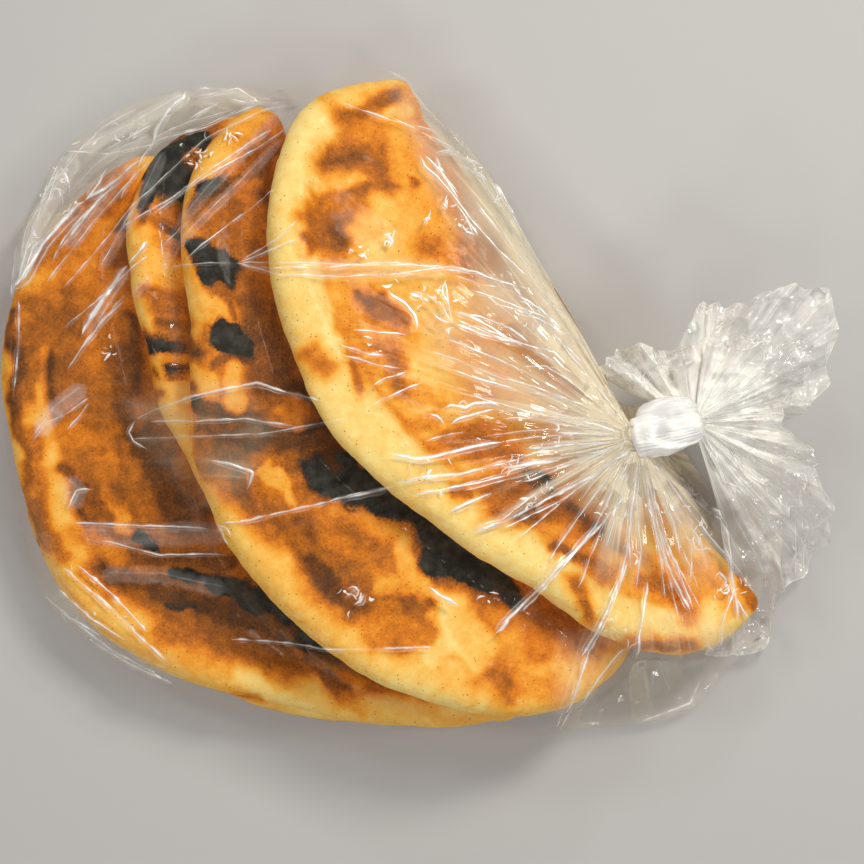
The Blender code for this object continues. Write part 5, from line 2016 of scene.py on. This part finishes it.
@dataclass(frozen=True)
class Studio:
    """A pale matt floor, a ring of softboxes, and a camera that looks straight down."""

    floor_half: float = 4.0
    floor_colour: str = "#BFBEBC"
    sky_colour: str = "#FFFFFF"
    sky_strength: float = 0.20
    layers_seen: int = 32  # how many layers of clear film a line of sight may pass
    aim_height: float = 0.03
    eye: tuple[float, float, float] = (0.004, -0.010, 1.0)
    sight_width: float = 0.36288  # what the picture's width spans on the floor
    sensor_mm: float = 36.0
    lights: tuple[Softbox, ...] = (
        Softbox("key_softbox", azimuth=52, zenith=42, size=0.25, power=7.0, tint="#FFF8EE"),
        Softbox("right_softbox", azimuth=4, zenith=50),
        Softbox("low_right_softbox", azimuth=-40, zenith=44),
        Softbox("low_softbox", azimuth=-84, zenith=50),
        Softbox("low_left_softbox", azimuth=-130, zenith=44),
        Softbox("left_softbox", azimuth=178, zenith=50),
        Softbox("back_left_softbox", azimuth=134, zenith=42),
        Softbox("back_softbox", azimuth=94, zenith=52),
    )

    def build(self) -> None:
        """Lays the floor and sets the lights, the sky and the camera."""
        corners = np.array([(x, y, 0) for x, y in ((-1, -1), (1, -1), (1, 1), (-1, 1))]) * self.floor_half
        floor = new_piece("studio_floor", corners, [(0, 1, 2, 3)])
        floor.data.materials.append(self.floor_material())
        world = bpy.data.worlds.new("studio_sky")
        world.use_nodes = True
        background = world.node_tree.nodes["Background"]
        background.inputs["Color"].default_value = linear(self.sky_colour)
        background.inputs["Strength"].default_value = self.sky_strength
        scene = bpy.context.scene
        scene.world = world
        scene.view_settings.view_transform = "Standard"
        scene.cycles.transparent_max_bounces = self.layers_seen
        aim = Vector((self.eye[0], self.eye[1], self.aim_height))
        for softbox in self.lights:
            softbox.light(aim)
        lens = bpy.data.cameras.new("photo_camera")
        lens.sensor_width = self.sensor_mm
        lens.lens = self.sensor_mm * self.eye[2] / self.sight_width
        camera = bpy.data.objects.new("photo_camera", lens)
        camera.location = self.eye
        scene.collection.objects.link(camera)
        scene.camera = camera

    def floor_material(self) -> bpy.types.Material:
        """Matt painted board: a plain pale surface that takes soft shadows.

        Returns:
            The floor's material.
        """
        made = bpy.data.materials.new("matt_painted_board")
        made.use_nodes = True
        shader = made.node_tree.nodes["Principled BSDF"]
        shader.inputs["Base Color"].default_value = linear(self.floor_colour)
        shader.inputs["Roughness"].default_value = 0.85
        shader.inputs["Specular IOR Level"].default_value = 0.2
        return made


def main() -> None:
    """Builds the studio and every piece, in order, and reports each."""
    logging.basicConfig(level=logging.INFO, format="%(name)s: %(message)s")
    Studio().build()
    log.info("studio: floor, %d softboxes and camera", len(Studio.lights))
    crust = StoneBakedCrust().material()
    breads = [bread.dress(crust) for bread in (LOWER, MIDDLE, UPPER)]
    drawn = PolytheneFilm("drawn_polythene_film").material()
    gathered = PolytheneFilm(
        "gathered_polythene_film",
        milk="#FFFEFA", roughness=0.25, pleat_mm=2.0, pleat_share=0.06, line_share=0.0, through=0.0,
    ).material()
    crumpled = PolytheneFilm(
        "crumpled_polythene_film",
        milk="#FFFDF6", pleat_mm=6.0, pleat_share=0.30, facet_mm=5.0, facet_lean=1.3, through=0.08,
    ).material()
    # Film for the creases and glints: its milk paints their highlights, and its gloss is real
    folded = PolytheneFilm(
        "folded_film_with_painted_glints",
        milk="#FFFDF6", face_reflectance=0.5, roughness=0.32, pleat_share=0.2, through=0.0,
    ).material()
    pieces = [FilmBody(veils=VEILS, bundles=BUNDLES).dress(drawn, HeightMap.over(breads))]
    pieces += [wrap.dress(gathered) for wrap in KNOT]
    pieces += [layer.dress(crumpled) for layer in FRILL]
    surface = surface_of(pieces)
    ribs = fan((86, -13), (118, 318), (6, 14), (30, 80), 22, (0.4, 0.9), 5)
    rays = fan((108, -7), (-70, 66), (4, 10), (14, 45), 20, (0.4, 0.9), 6)
    gathers = CreaseSet("creases_gathers", 801, ribs + rays)
    pieces += [creases.dress(folded, surface) for creases in (*CREASE_SETS, gathers)]
    for k, (part, spots) in enumerate(GLINTS.items()):
        pieces.append(CreaseSet("glints_" + part, 901 + 50 * k, glints(k, *spots)).dress(folded, surface))
    for piece in breads + pieces:
        log.info("%s: %d points", piece.name, len(piece.data.vertices))


if __name__ == "__main__":
    main()
